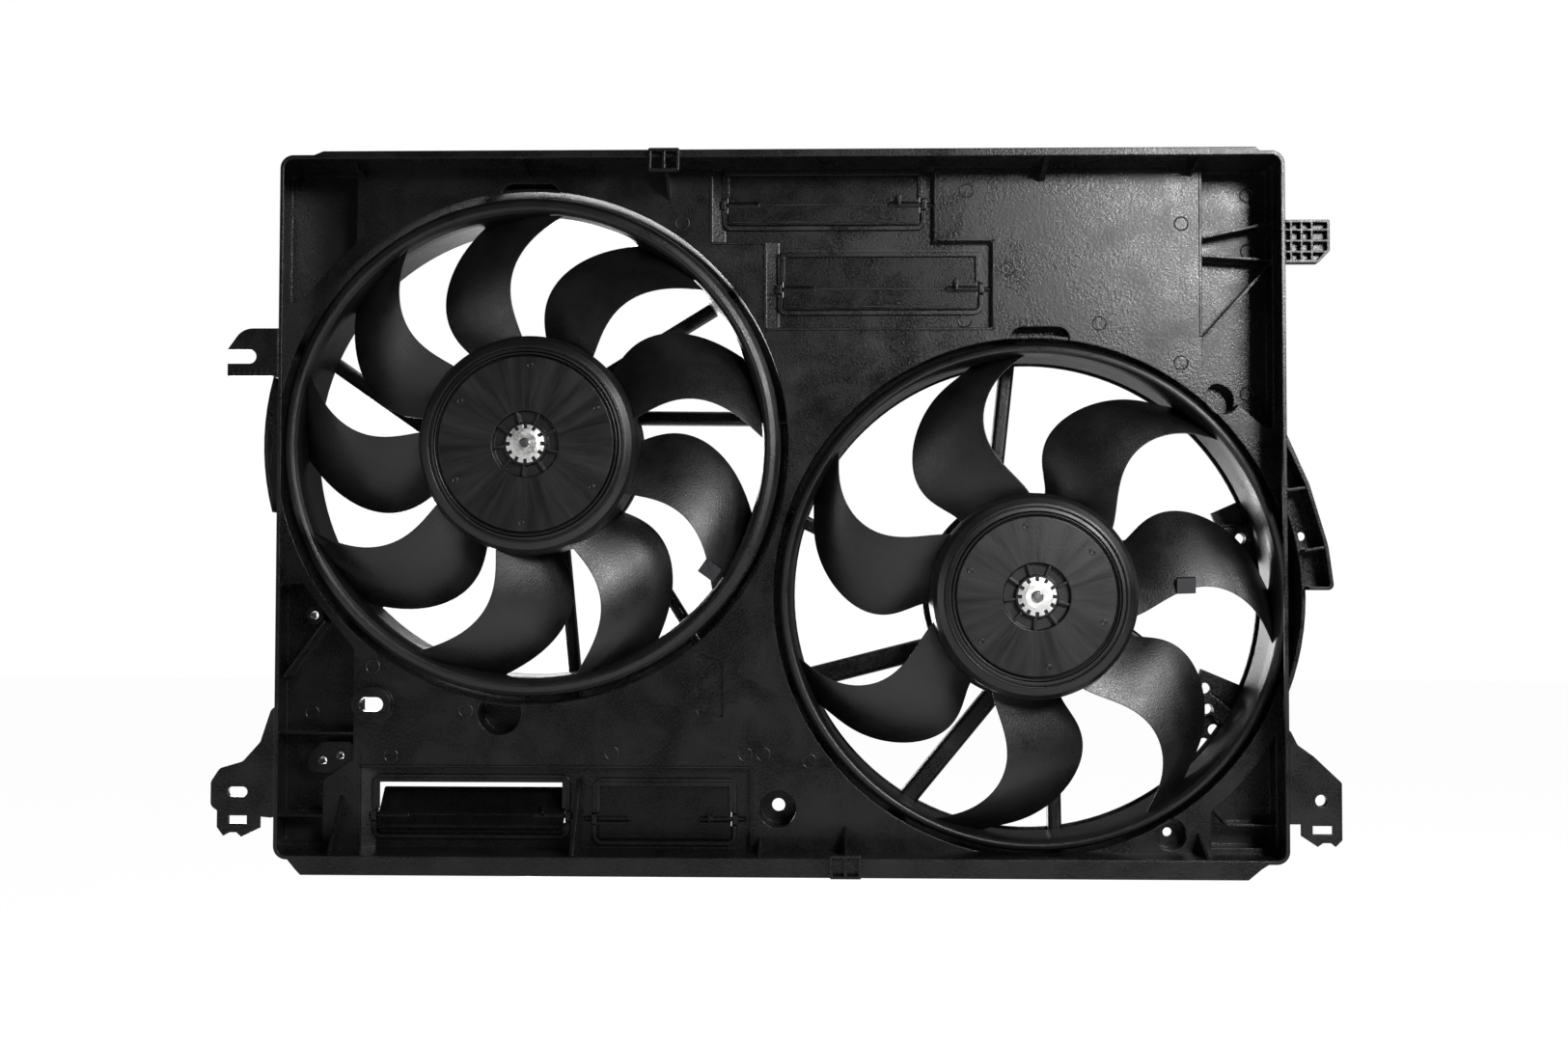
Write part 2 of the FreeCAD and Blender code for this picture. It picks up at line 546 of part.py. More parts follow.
def shroud_panel():
    """Panel between the rim and the barrels: openings, pockets, flap frames, wells and bosses."""
    body = joined([tray_outline(PANEL_FRONT, PANEL_REAR)] + panel_recesses(PANEL_WALL, PANEL_FRONT, PANEL_WALL))
    room = tray_outline(0.0, DEEP)
    body = body.common(room).cut(panel_recesses(0.0, PANEL_FRONT - EPS, 0.0))
    fillers = [rib.common(tray_block(0.0, 0.0, DEEP)) for rib in pocket_ribs()]
    body = body.fuse(fillers + panel_bosses() + box_ramps())
    grooves = []
    supports = []
    for flap in FLAPS.values():
        body = body.cut(flap_opening(flap))
        flap_grooves, flap_straps = hinge_seats(flap)
        grooves += flap_grooves
        supports += flap_straps + flap_ledges(flap)
    body = body.fuse(supports).cut(grooves)
    body = body.cut(panel_holes())
    body = body.cut(fan_drums(OPENING_RADIUS, 0.0, DEEP) + fan_drums(BARREL_OUT, PANEL_REAR, DEEP))
    body = body.removeSplitter()
    return max(body.Solids, key=lambda solid: solid.Volume)


# ---- barrels and motor mounts -------------------------------------------------------------------
def fan_barrel(fan):
    """Barrel behind the panel with an inward lip at its rear edge."""
    lip = OPENING_RADIUS - BARREL_LIP
    return turned([(OPENING_RADIUS, PANEL_REAR), (BARREL_OUT, PANEL_REAR), (BARREL_OUT, BARREL_REAR),
                   (lip, BARREL_REAR), (lip, BARREL_REAR - BARREL_WALL),
                   (OPENING_RADIUS - 5.0, BARREL_REAR - BARREL_WALL),
                   (OPENING_RADIUS, BARREL_REAR - BARREL_WALL - 5.0)], fan["x"], fan["z"])


def lug_angles():
    return [30.0 + 120.0 * i for i in range(3)]


def strut(fan, angle, offset, width):
    """Straight strut with a rounded front edge, which runs past the motor at a distance."""
    lean = angle - degrees(asin(offset / OPENING_RADIUS))
    z = fan["z"] + offset
    outline = [(MOUNT_FRONT, z - width / 2, 3.0), (MOUNT_REAR, z - width / 2, 0.0),
               (MOUNT_REAR, z + width / 2, 0.0), (MOUNT_FRONT, z + width / 2, 3.0)]
    bar = prism_x(outline, fan["x"] + sqrt(MOTOR_RADIUS ** 2 - offset ** 2), fan["x"] + BARREL_OUT)
    return spun(bar, fan, lean)


def strut_plate(fan, angle, half, reach):
    """Flat plate that widens a strut where it meets the barrel."""
    x, z = fan["x"], fan["z"]
    ring = sleeve(x, z, OPENING_RADIUS, OPENING_RADIUS - reach, MOUNT_REAR - 4.0, MOUNT_REAR)
    wedge = prism([(x, z), (x + BARREL_OUT, z - BARREL_OUT * tan(radians(half))),
                   (x + BARREL_OUT, z + BARREL_OUT * tan(radians(half)))], 0.0, DEEP)
    return spun(ring.common(wedge), fan, angle)


def motor_mount(fan):
    """Ring that carries the motor and the struts that hold it in the barrel."""
    x, z = fan["x"], fan["z"]
    parts = [drum(x, z, MOUNT_RING, MOUNT_FRONT, MOUNT_REAR)]
    parts += [strut(fan, *values) for values in fan["struts"]]
    parts += [strut_plate(fan, *values) for values in fan["plates"]]
    body = joined(parts).common(drum(x, z, OPENING_RADIUS, 0.0, DEEP))
    holes = [drum(*polar(fan, OPENING_RADIUS - inset, angle), 4.0, 0.0, DEEP) for inset, angle in
             fan["plate_holes"]]
    holes += [drum(*polar(fan, LUG_CIRCLE, angle), SCREW_RADIUS + FIT, 0.0, DEEP) for angle in lug_angles()]
    return body.cut(holes + [drum(x, z, MOTOR_RADIUS + 1.5, 0.0, DEEP), fan_barrel(fan)]).removeSplitter()


# ---- fan wheels ---------------------------------------------------------------------------------
def hub_shell(fan):
    """Hub cup: dished front with a recessed ring, a groove, a rounded rim and a skirt."""
    hub, disc = fan["hub"], fan["disc"]
    f = HUB_FRONT
    rim = hub - disc - 4.0
    arc = [(hub - rim + rim * sin(radians(a)), f + 1.0 + rim * (1.0 - cos(radians(a))))
           for a in (0, 22.5, 45, 67.5, 90)]
    outer = [(SHAFT_RADIUS + SEAT, f), (14.5, f), (15.5, f + 4.5), (22.5, f + 4.5), (23.5, f),
             (disc, f + 0.8), (disc + 1.0, f + 3.2), (disc + 3.0, f + 3.2)]
    inner_rim = [(r - HUB_WALL * sin(radians(a)), y + HUB_WALL * cos(radians(a)))
                 for (r, y), a in zip(arc, (0, 22.5, 45, 67.5, 90))]
    inner = list(reversed(inner_rim)) + [(disc, f + 6.2), (26.0, f + 4.0 + 3.0), (14.5, f + 7.5),
                                         (13.0, f + 16.0), (SHAFT_RADIUS + SEAT, f + 16.0)]
    return turned(outer + arc + [(hub, HUB_REAR), (hub - HUB_WALL, HUB_REAR)] + inner, fan["x"], fan["z"])


def band(fan):
    """Ring round the blade tips with a rolled bell mouth at its front."""
    throat, crest, lip = fan["throat"], fan["crest"], fan["lip"]
    w = BAND_WALL
    mouth = [(throat + (crest - throat) * (1.0 - cos(radians(a))), BAND_FRONT + 14.0 * (1.0 - sin(radians(a))))
             for a in (0, 25, 50, 72, 90)]
    roll = [(crest + (lip - crest) * sin(radians(a)), BAND_FRONT + 6.0 * (1.0 - cos(radians(a))))
            for a in (30, 60, 90)]
    back = [(lip - w, BAND_FRONT + 7.0), (crest + w * 0.4, BAND_FRONT + w), (throat + w + 1.0, BAND_FRONT + 9.0),
            (throat + w, BAND_FRONT + 15.0), (throat + w, BAND_REAR)]
    return turned([(throat, BAND_REAR)] + mouth + roll + [(lip, BAND_FRONT + 7.5)] + back, fan["x"], fan["z"])


def at_share(values, share):
    """Value at one share of the blade's span, from those at its evenly spaced stations."""
    step = share * (len(values) - 1)
    low = min(int(step), len(values) - 2)
    return values[low] + (values[low + 1] - values[low]) * (step - low)


def blade_values(fan, share):
    """Radius, mid angle and half chord of the blade, and depth of its leading edge, rise and thickness."""
    inner, outer = fan["hub"] - 8.0, fan["throat"] + 8.0
    radius = inner + (outer - inner) * share
    half = radius * radians(at_share(fan["chord"], share)) / 2
    return (radius, at_share(fan["middle"], share), half, at_share(fan["lead"], share),
            at_share(fan["rise"], share), 3.2 - 1.2 * share)


def blade_section(fan, share):
    """Closed wire of the blade at one share of its span, in a plane square to the radius."""
    radius, middle, half, lead, rise, thick = blade_values(fan, share)
    angle = radians(middle)

    def place(s, y):
        x = fan["x"] + radius * cos(angle) - s * sin(angle)
        z = fan["z"] + radius * sin(angle) + s * cos(angle)
        return vec(x, y, z)

    def camber(u):
        return lead + rise * (0.55 * u + 0.45 * u * u)

    stations = (0.0, 0.25, 0.5, 0.75, 1.0)
    front = [place(-half + 2 * half * u, camber(u)) for u in stations]
    rear = [place(-half + 2 * half * u, camber(u) + thick * (0.35 + 2.6 * u * (1 - u))) for u in stations]
    face = Part.BSplineCurve()
    face.interpolate(front)
    back = Part.BSplineCurve()
    back.interpolate(rear)
    return Part.Wire([face.toShape(), Part.makeLine(front[-1], rear[-1]), back.toShape(),
                      Part.makeLine(rear[0], front[0])])


def blade(fan, hub, ring):
    """Swept, twisted blade, trimmed to run from the hub's wall to the band's."""
    last = len(fan["middle"]) - 1
    sections = [blade_section(fan, i / last) for i in range(last + 1)]
    body = Part.makeLoft(sections, True, False)
    trim = sleeve(fan["x"], fan["z"], fan["throat"] + BAND_WALL / 2, fan["hub"] - HUB_WALL / 2, 0.0, DEEP)
    body = body.common(trim).cut([hub, ring])
    return max(body.Solids, key=lambda solid: solid.Volume)


def fan_blades(fan, hub, ring):
    """All the blades, evenly spaced, each a solid of its own between the hub and the band."""
    one = blade(fan, hub, ring)
    return Part.makeCompound([spun(one, fan, 360.0 / fan["blades"] * i) for i in range(fan["blades"])])


def fan_hub(fan):
    """Hub cup with the radial ribs of its recessed ring."""
    x, z = fan["x"], fan["z"]
    spoke = block(x + 15.0, x + 23.0, HUB_FRONT + 0.8, HUB_FRONT + 5.5, z - 0.8, z + 0.8)
    return hub_shell(fan).fuse([spun(spoke, fan, 26.0 + 40.0 * i) for i in range(9)])


def push_nut(fan):
    """Toothed spring washer that locks the hub on its shaft."""
    body = turned([(SHAFT_RADIUS + SEAT, HUB_FRONT - 2.4), (8.0, HUB_FRONT - 2.4), (13.4, HUB_FRONT - 1.2),
                   (13.4, HUB_FRONT - SEAT), (SHAFT_RADIUS + SEAT, HUB_FRONT - SEAT)], fan["x"], fan["z"])
    tooth = block(fan["x"] + 10.5, fan["x"] + 16.0, HUB_FRONT - 5.0, HUB_FRONT + 2.0, fan["z"] - 1.3, fan["z"] + 1.3)
    return body.cut([spun(tooth, fan, 30.0 * i) for i in range(12)])


def balance_clip(fan, blades):
    """Spring-steel clip pushed over the leading edge of one blade."""
    share, number = fan["clip"]
    radius, middle, half, lead, rise, thick = blade_values(fan, share)
    slope = degrees(atan2(0.6 * rise, 2 * half))
    x, z = fan["x"] + radius, fan["z"]
    length, width, height = 11.0, 13.0, 4.0
    clip = block(x - width / 2, x + width / 2, lead - 1.5, lead - 1.5 + height, z - 1.5, z - 1.5 + length)
    clip.rotate(vec(x, lead, z), vec(1, 0, 0), slope)
    turn = middle - degrees(half / radius) + 360.0 / fan["blades"] * number
    return max(spun(clip, fan, turn).cut(blades).Solids, key=lambda solid: solid.Volume)


# ---- motors -------------------------------------------------------------------------------------
BORE = MOTOR_RADIUS - CASE_WALL
SHAFT_REAR = MOTOR_REAR + 4.0
BUSH_RADIUS = 9.0
MAGNET_WALL = 7.0
CORE_RADIUS = BORE - SEAT - MAGNET_WALL - 1.2
CORE_FRONT = MOTOR_FRONT + 25.0
CORE_REAR = MOTOR_REAR - 13.0
COMMUTATOR_RADIUS = 13.0
COMMUTATOR_FRONT = MOTOR_FRONT + 5.0
COMMUTATOR_REAR = MOTOR_FRONT + 14.0
END_PLATE = 3.0


def motor_case(fan):
    """Drawn steel cup with three screw lugs and a rear bearing pocket."""
    x, z = fan["x"], fan["z"]
    pocket = BUSH_RADIUS + SEAT
    cup = turned([(BORE, MOTOR_FRONT), (MOTOR_RADIUS, MOTOR_FRONT), (MOTOR_RADIUS, MOTOR_REAR - 5.0),
                  (MOTOR_RADIUS - 5.0, MOTOR_REAR), (pocket + CASE_WALL, MOTOR_REAR),
                  (pocket + CASE_WALL, MOTOR_REAR + 8.0), (0.0, MOTOR_REAR + 8.0),
                  (0.0, MOTOR_REAR + 6.0), (pocket, MOTOR_REAR + 6.0), (pocket, MOTOR_REAR - CASE_WALL),
                  (BORE - 4.0, MOTOR_REAR - CASE_WALL), (BORE, MOTOR_REAR - 6.0)], x, z)
    lug = block(x + MOTOR_RADIUS - 3.0, x + LUG_CIRCLE, MOUNT_FRONT - 3.0, MOUNT_FRONT,
                z - LUG_RADIUS, z + LUG_RADIUS)
    lug = lug.fuse(drum(x + LUG_CIRCLE, z, LUG_RADIUS, MOUNT_FRONT - 3.0, MOUNT_FRONT))
    lug = lug.cut([drum(x, z, MOTOR_RADIUS - 1.0, 0.0, DEEP),
                   drum(x + LUG_CIRCLE, z, SCREW_RADIUS + GAP, 0.0, DEEP)])
    return cup.fuse([spun(lug, fan, angle) for angle in lug_angles()]).removeSplitter()


def end_plate(fan):
    """Front cover of the motor with the front bearing's seat."""
    x, z = fan["x"], fan["z"]
    seat = BUSH_RADIUS + SEAT
    front = MOTOR_FRONT - END_PLATE
    plate = turned([(seat, front), (seat + 2.5, front - 2.0), (seat + 4.0, front), (MOTOR_RADIUS, front),
                    (MOTOR_RADIUS, MOTOR_FRONT), (seat + 4.0, MOTOR_FRONT), (seat + 2.5, MOTOR_FRONT + 4.0),
                    (seat, MOTOR_FRONT + 4.0)], x, z)
    vent = block(x + 26.0, x + 44.0, 0.0, DEEP, z - 3.5, z + 3.5, 3.4)
    return plate.cut([spun(vent, fan, 60.0 * i) for i in range(6)])


def bearing(fan, y0, y1):
    return sleeve(fan["x"], fan["z"], BUSH_RADIUS, SHAFT_RADIUS + FIT, y0, y1)


def magnets(fan):
    """Four ferrite arcs glued inside the case."""
    outer, inner = BORE - SEAT, BORE - SEAT - MAGNET_WALL
    ring = sleeve(fan["x"], fan["z"], outer, inner, CORE_FRONT - 2.0, CORE_REAR + 2.0)
    window = prism([(fan["x"], fan["z"]), (fan["x"] + 80.0, fan["z"] - 62.0), (fan["x"] + 80.0, fan["z"] + 62.0)],
                   0.0, DEEP)
    arc = ring.common(window)
    return Part.makeCompound([spun(arc, fan, 45.0 + 90.0 * i) for i in range(4)])


def armature_core(fan):
    """Slotted lamination stack."""
    x, z = fan["x"], fan["z"]
    core = sleeve(x, z, CORE_RADIUS, SHAFT_RADIUS + SEAT, CORE_FRONT, CORE_REAR)
    tooth_slot = block(x + 22.0, x + CORE_RADIUS + 2.0, 0.0, DEEP, z - 2.4, z + 2.4)
    return core.cut([spun(tooth_slot, fan, 30.0 * i) for i in range(12)])


def winding(fan):
    """Copper end turns: one ring in front of the core and one behind it, joined through the slots."""
    x, z = fan["x"], fan["z"]
    inner, outer = 22.6, CORE_RADIUS - 4.0
    front = sleeve(x, z, outer, inner, CORE_FRONT - 8.0, CORE_FRONT - GAP)
    rear = sleeve(x, z, outer, inner, CORE_REAR + GAP, CORE_REAR + 8.0)
    bar = block(x + inner + 1.0, x + outer - 1.0, CORE_FRONT - 2.0, CORE_REAR + 2.0, z - 2.0, z + 2.0)
    return joined([front, rear] + [spun(bar, fan, 30.0 * i) for i in range(12)])


def commutator(fan):
    x, z = fan["x"], fan["z"]
    body = sleeve(x, z, COMMUTATOR_RADIUS, SHAFT_RADIUS + SEAT, COMMUTATOR_FRONT, COMMUTATOR_REAR)
    cut = block(x + COMMUTATOR_RADIUS - 1.5, x + COMMUTATOR_RADIUS + 1.0, 0.0, DEEP, z - 0.4, z + 0.4)
    return body.cut([spun(cut, fan, 30.0 * i) for i in range(12)])


def shaft(fan):
    x, z = fan["x"], fan["z"]
    body = drum(x, z, SHAFT_RADIUS, HUB_FRONT - 4.0, SHAFT_REAR)
    return body.makeChamfer(0.8, body.Edges)


BRUSH_START = COMMUTATOR_RADIUS + 0.1
BRUSH_END = 27.0
CARD_FRONT = MOTOR_FRONT + 1.0


def brush_card(fan):
    """Insulating ring with a guide for each brush."""
    x, z = fan["x"], fan["z"]
    card = sleeve(x, z, BORE - GAP, 16.0, CARD_FRONT, CARD_FRONT + 2.5)
    mid = (COMMUTATOR_FRONT + COMMUTATOR_REAR) / 2
    guide = block(x + 17.0, x + BRUSH_END + 8.0, CARD_FRONT + 2.0, mid + 5.0, z - 6.0, z + 6.0)
    guide = guide.cut(block(x + 10.0, x + BRUSH_END + 6.5, mid - 3.5, mid + 3.5, z - 4.5, z + 4.5))
    guides = [spun(guide, fan, 45.0 + 90.0 * i) for i in range(4)]
    return joined([card] + guides).cut([brush_room(fan, i) for i in range(4)])


def brush_room(fan, index):
    mid = (COMMUTATOR_FRONT + COMMUTATOR_REAR) / 2
    x, z = fan["x"], fan["z"]
    room = block(x + 10.0, x + BRUSH_END + 6.5, mid - 3.5, mid + 3.5, z - 4.5, z + 4.5)
    return spun(room, fan, 45.0 + 90.0 * index)


def brushes(fan):
    """Four carbon brushes that bear on the commutator."""
    mid = (COMMUTATOR_FRONT + COMMUTATOR_REAR) / 2
    x, z = fan["x"], fan["z"]
    brush = block(x + 11.0, x + BRUSH_END, mid - 3.3, mid + 3.3, z - 4.3, z + 4.3)
    brush = brush.cut(drum(x, z, BRUSH_START, 0.0, DEEP))
    return Part.makeCompound([spun(brush, fan, 45.0 + 90.0 * i) for i in range(4)])


def brush_springs(fan):
    """Four short coil springs behind the brushes, drawn as sleeves."""
    mid = (COMMUTATOR_FRONT + COMMUTATOR_REAR) / 2
    x, z = fan["x"], fan["z"]
    start, end = BRUSH_END + GAP, BRUSH_END + 6.5 - GAP
    coil = Part.makeCylinder(2.6, end - start, vec(x + start, mid, z), vec(1, 0, 0))
    coil = coil.cut(Part.makeCylinder(1.7, end - start + 2, vec(x + start - 1, mid, z), vec(1, 0, 0)))
    return Part.makeCompound([spun(coil, fan, 45.0 + 90.0 * i) for i in range(4)])


def motor_screws(fan):
    """Three screws that hold the motor's lugs on the mount ring."""
    screws = []
    for angle in lug_angles():
        x, z = polar(fan, LUG_CIRCLE, angle)
        head = drum(x, z, 5.0, MOUNT_FRONT - 7.0, MOUNT_FRONT - 3.0)
        head = head.cut(drum(x, z, 2.2, MOUNT_FRONT - 7.0 - EPS, MOUNT_FRONT - 5.0))
        screws.append(head.fuse(drum(x, z, SCREW_RADIUS, MOUNT_FRONT - 3.0, MOUNT_REAR + 2.0)))
    return Part.makeCompound(screws)


def motor_connector(fan):
    """Plug socket on the back of the motor, open to the rear."""
    x, z = fan["x"], fan["z"] - 34.0
    front, rear = MOTOR_REAR, MOTOR_REAR + 14.0
    body = block(x - 14.0, x + 14.0, front, rear, z - 8.0, z + 8.0, 2.0)
    body = body.cut(block(x - 11.5, x + 11.5, front + 3.0, rear + EPS, z - 5.5, z + 5.5, 1.0))
    blades = [block(x + side * 5.0 - 0.4, x + side * 5.0 + 0.4, front + 2.0, rear - 3.0, z - 3.0, z + 3.0)
              for side in (-1, 1)]
    return joined([body] + blades)


# ---- flaps --------------------------------------------------------------------------------------
def flap(data):
    """Ram-air flap with its hinge barrel, pins and stop arm, turned to its rest position."""
    x0, x1 = data["x"][0] + FLAP_GAP, data["x"][1] - FLAP_GAP
    z0, z1 = data["z"][0] + FLAP_GAP, data["z"][1] - FLAP_GAP
    hinge = data["hinge"]
    front = HINGE_DEPTH - FLAP_WALL / 2
    plate = block(x0, x1, front, front + FLAP_WALL, z0, z1, 1.5)
    knuckles = [Part.makeCylinder(2.3, 22.0, vec(start, HINGE_DEPTH, hinge), vec(1, 0, 0))
                for start in (x0, x1 - 22.0)]
    pin = Part.makeCylinder(PIN_RADIUS, x1 - x0 + 2 * (PIN_REACH + FLAP_GAP) - 1.0,
                            vec(x0 - PIN_REACH - FLAP_GAP + 0.5, HINGE_DEPTH, hinge), vec(1, 0, 0))
    middle = block(x0 + 22.0, x1 - 22.0, HINGE_DEPTH - 5.0, HINGE_DEPTH + 5.0, hinge - 5.0, hinge + 5.0)
    arm = block(x1 - 16.0, x1 - 13.5, HINGE_DEPTH - 5.0, front + EPS, hinge - 1.5, hinge + 7.0, 1.0)
    body = joined([plate, pin.cut(middle), arm] + knuckles)
    body.rotate(vec(0, HINGE_DEPTH, hinge), vec(-1, 0, 0), data["open"])
    return body


# ---- brackets and clips -------------------------------------------------------------------------
def outside_tray(shape):
    """Cut back to the outside of the tray's wall and of the fans' bulges."""
    tools = [tray_block(WALL, -EPS, PANEL_FRONT)] + fan_drums(BARREL_OUT, BULGE_FRONT, PANEL_REAR)
    return shape.cut(tools)


def lower_right_bracket():
    """Flat tab with the round mounting hole, and a push-in clip under it."""
    x, z = MOUNT_HOLE
    inner = right(3.0) - x
    tab = [(inner, 49.5), (inner + 4.0, 46.5), (inner + 8.5, 37.5), (-5.0, 30.0), (14.0, 12.0), (14.0, -16.0),
           (inner, -16.0)]
    clip = [(-13.2, -14.5), (14.0, -14.5), (14.0, -26.5), (9.5, -31.0), (6.5, -28.5), (1.0, -28.5),
            (-2.5, -31.0), (-13.2, -24.0)]
    window = rect(x - 5.8, x + 7.7, z - 22.8, z - 17.0)
    clip = prism(placed(clip, MOUNT_HOLE), 0.0, TAB_WALL).cut(prism(window, -EPS, DEEP))
    ring = sleeve(x, z, 2 * MOUNT_HOLE_RADIUS, MOUNT_HOLE_RADIUS, 0.0, TAB_WALL + 2.0)
    edge = block(right(3.0), right(-3.0), 0.0, 3 * TAB_WALL, z - 16.0, z + 39.5)
    body = joined([prism(placed(tab, MOUNT_HOLE), 0.0, TAB_WALL, 2.5), clip, ring, edge])
    return outside_tray(body.cut(drum(x, z, MOUNT_HOLE_RADIUS, -EPS, DEEP)))


def lower_left_bracket():
    """Curved tab with the slotted mounting hole, and a push-in clip under it."""
    x, z = SLOT_CENTRE
    inner = left(3.0) - x
    tab = [(inner, 60.8), (inner - 5.5, 55.8), (inner - 12.6, 34.0), (3.5, 20.8), (-12.4, 16.1), (-18.5, 6.8),
           (-18.5, -9.7), (-12.0, -14.2), (inner, -18.1)]
    clip = [(-14.0, -11.2), (15.5, -11.2), (15.5, -24.7), (3.0, -30.7), (-0.5, -27.7), (-5.0, -27.7),
            (-9.5, -30.2), (-14.0, -24.2)]
    window = rect(x - 6.1, x + 6.7, z - 21.7, z - 16.2)
    clip = prism(placed(clip, SLOT_CENTRE), 0.0, TAB_WALL).cut(prism(window, -EPS, DEEP))
    pad = slot(x, z, SLOT_LENGTH + 10.0, SLOT_WIDTH + 7.5, 0.0, TAB_WALL + 1.5)
    edge = block(left(-3.0), left(3.0), 0.0, 3 * TAB_WALL, z - 17.2, z + 46.8)
    body = joined([prism(placed(tab, SLOT_CENTRE), 0.0, TAB_WALL, 5.0), clip, pad, edge])
    return outside_tray(body.cut(slot(x, z, SLOT_LENGTH, SLOT_WIDTH, -EPS, DEEP)))


def upper_left_bracket():
    """Forked tab that slides over a stud, with a grid of ribs on its rear."""
    x, z = FORK_CENTRE
    inner = left(3.0) - x
    outline = [(inner, 19.6, 0.0), (-4.8, 19.6, 14.0), (-15.1, 5.1, 2.0), (-15.1, -13.4, 1.0), (inner, -13.4, 0.0)]
    plate = prism(placed(outline, FORK_CENTRE), 0.0, TAB_WALL)
    half = FORK_WIDTH / 2
    fork = block(x - FAR, x, -EPS, DEEP, z - half, z + half).fuse(drum(x, z, half, -EPS, DEEP))
    front = TAB_WALL - EPS
    ribs = [block(x - 14.8, x + inner, front, TAB_WALL + 7.0, z + up - 0.8, z + up + 0.8)
            for up in (-12.6, -6.4, 6.6)]
    ribs += [block(x + across - 0.8, x + across + 0.8, front, TAB_WALL + 6.0, z + low, z + high)
             for across in (-6.8, 0.2, 7.2, 14.2) for low, high in ((-12.9, -6.1), (6.1, 12.6))]
    ribs.append(block(x - 4.8, x + inner, front, TAB_WALL + 6.0, z + 11.9, z + 13.5))
    return outside_tray(joined([plate] + ribs).cut(fork))


def upper_right_bracket():
    """Short tab stiffened by a grid of ribs."""
    x, z = GRID_TAB
    height = 6.5
    outline = placed([(-3.0, 14.7), (30.1, 14.7), (30.1, -6.7), (22.5, -14.6), (-3.0, -14.6)], GRID_TAB)
    plate = prism(outline, height - EPS, height - EPS + TAB_WALL, 1.0)
    frame = prism(outline, 0.0, height, 1.0).cut(prism(grown(outline, -RIB), -EPS, height + EPS))
    ribs = [block(x + across - 0.7, x + across + 0.7, 0.0, height, z - 14.2, z + 14.3)
            for across in (4.0, 11.0, 18.0)]
    ribs += [block(x - 3.0, x + 29.5, 0.0, height, z + up - 0.7, z + up + 0.7) for up in (-7.2, 0.3, 7.8)]
    grid = joined(ribs).common(prism(outline, 0.0, height, 1.0))
    return outside_tray(joined([plate, frame, grid]))


EAR_FRONT = 6.0
EAR_FLOOR = 26.0


def side_ear():
    """Curved ear beside the right fan with an outer wall, two ribs and a screw hole."""
    fan = RIGHT_FAN
    corner, foot = around(fan, 18.8, 33.5), around(fan, 17.1, 1.35)
    x = right(15.0)
    outline = [(x, corner[1], 0.0), corner + (0.0,), around(fan, 16.0, 22.7) + (30.0,),
               around(fan, 16.1, 10.1) + (60.0,), foot + (4.0,), (x, foot[1], 0.0)]
    inner = [(x - 1.0, corner[1] - 6.0, 0.0), around(fan, 15.1, 32.2) + (0.0,), around(fan, 13.5, 22.8) + (30.0,),
             around(fan, 13.8, 10.2) + (60.0,), around(fan, 14.7, 2.05) + (2.0,), (x - 1.0, foot[1] + 2.4, 0.0)]
    shell = prism(outline, EAR_FRONT, EAR_FLOOR + WALL).cut(prism(inner, EAR_FRONT - EPS, EAR_FLOOR))
    ribs = [rib_between(around(fan, -7.0, 24.0), around(fan, 17.0, 22.0), EAR_FRONT + 1.0, EAR_FLOOR + EPS),
            rib_between(around(fan, -9.0, 9.9), around(fan, 15.0, 9.9), EAR_FRONT + 1.0, EAR_FLOOR + EPS)]
    hole = drum(*around(fan, 4.6, 12.8), 3.0, 0.0, DEEP)
    body = joined([shell] + ribs).common(prism(outline, EAR_FRONT, EAR_FLOOR + WALL))
    body = outside_tray(body.cut(fan_drums(BARREL_OUT, -EPS, PANEL_REAR) + [hole]))
    return max(body.Solids, key=lambda solid: solid.Volume)


def hose_clip(x, lip_z, side):
    """Moulded clip frame on the rim, with two windows and a tongue that hooks over the lip."""
    inner = lip_z - side * 16.0
    low, high = min(lip_z, inner), max(lip_z, inner)
    frame = block(x - 10.7, x + 10.7, -5.0, -GAP, low, high, 1.2)
    window_low, window_high = low + 2.0, high - 2.0
    windows = [block(x - 8.7, x - 1.0, -6.0, 1.0, window_low, window_high),
               block(x + 1.0, x + 8.7, -6.0, 1.0, window_low, window_high)]
    return frame.cut(windows)


# ---- export -------------------------------------------------------------------------------------
def export(name, shape):
    if not shape.isValid():
        print("not valid:", name)
    shape = shape.copy()
    shape.translate(vec(-MOUNT_HOLE[0], 0.0, -MOUNT_HOLE[1]))
    shape.exportStep("parts/%s.step" % name)
    print("%-28s solids %2d  volume %10.0f" % (name, len(shape.Solids), shape.Volume))


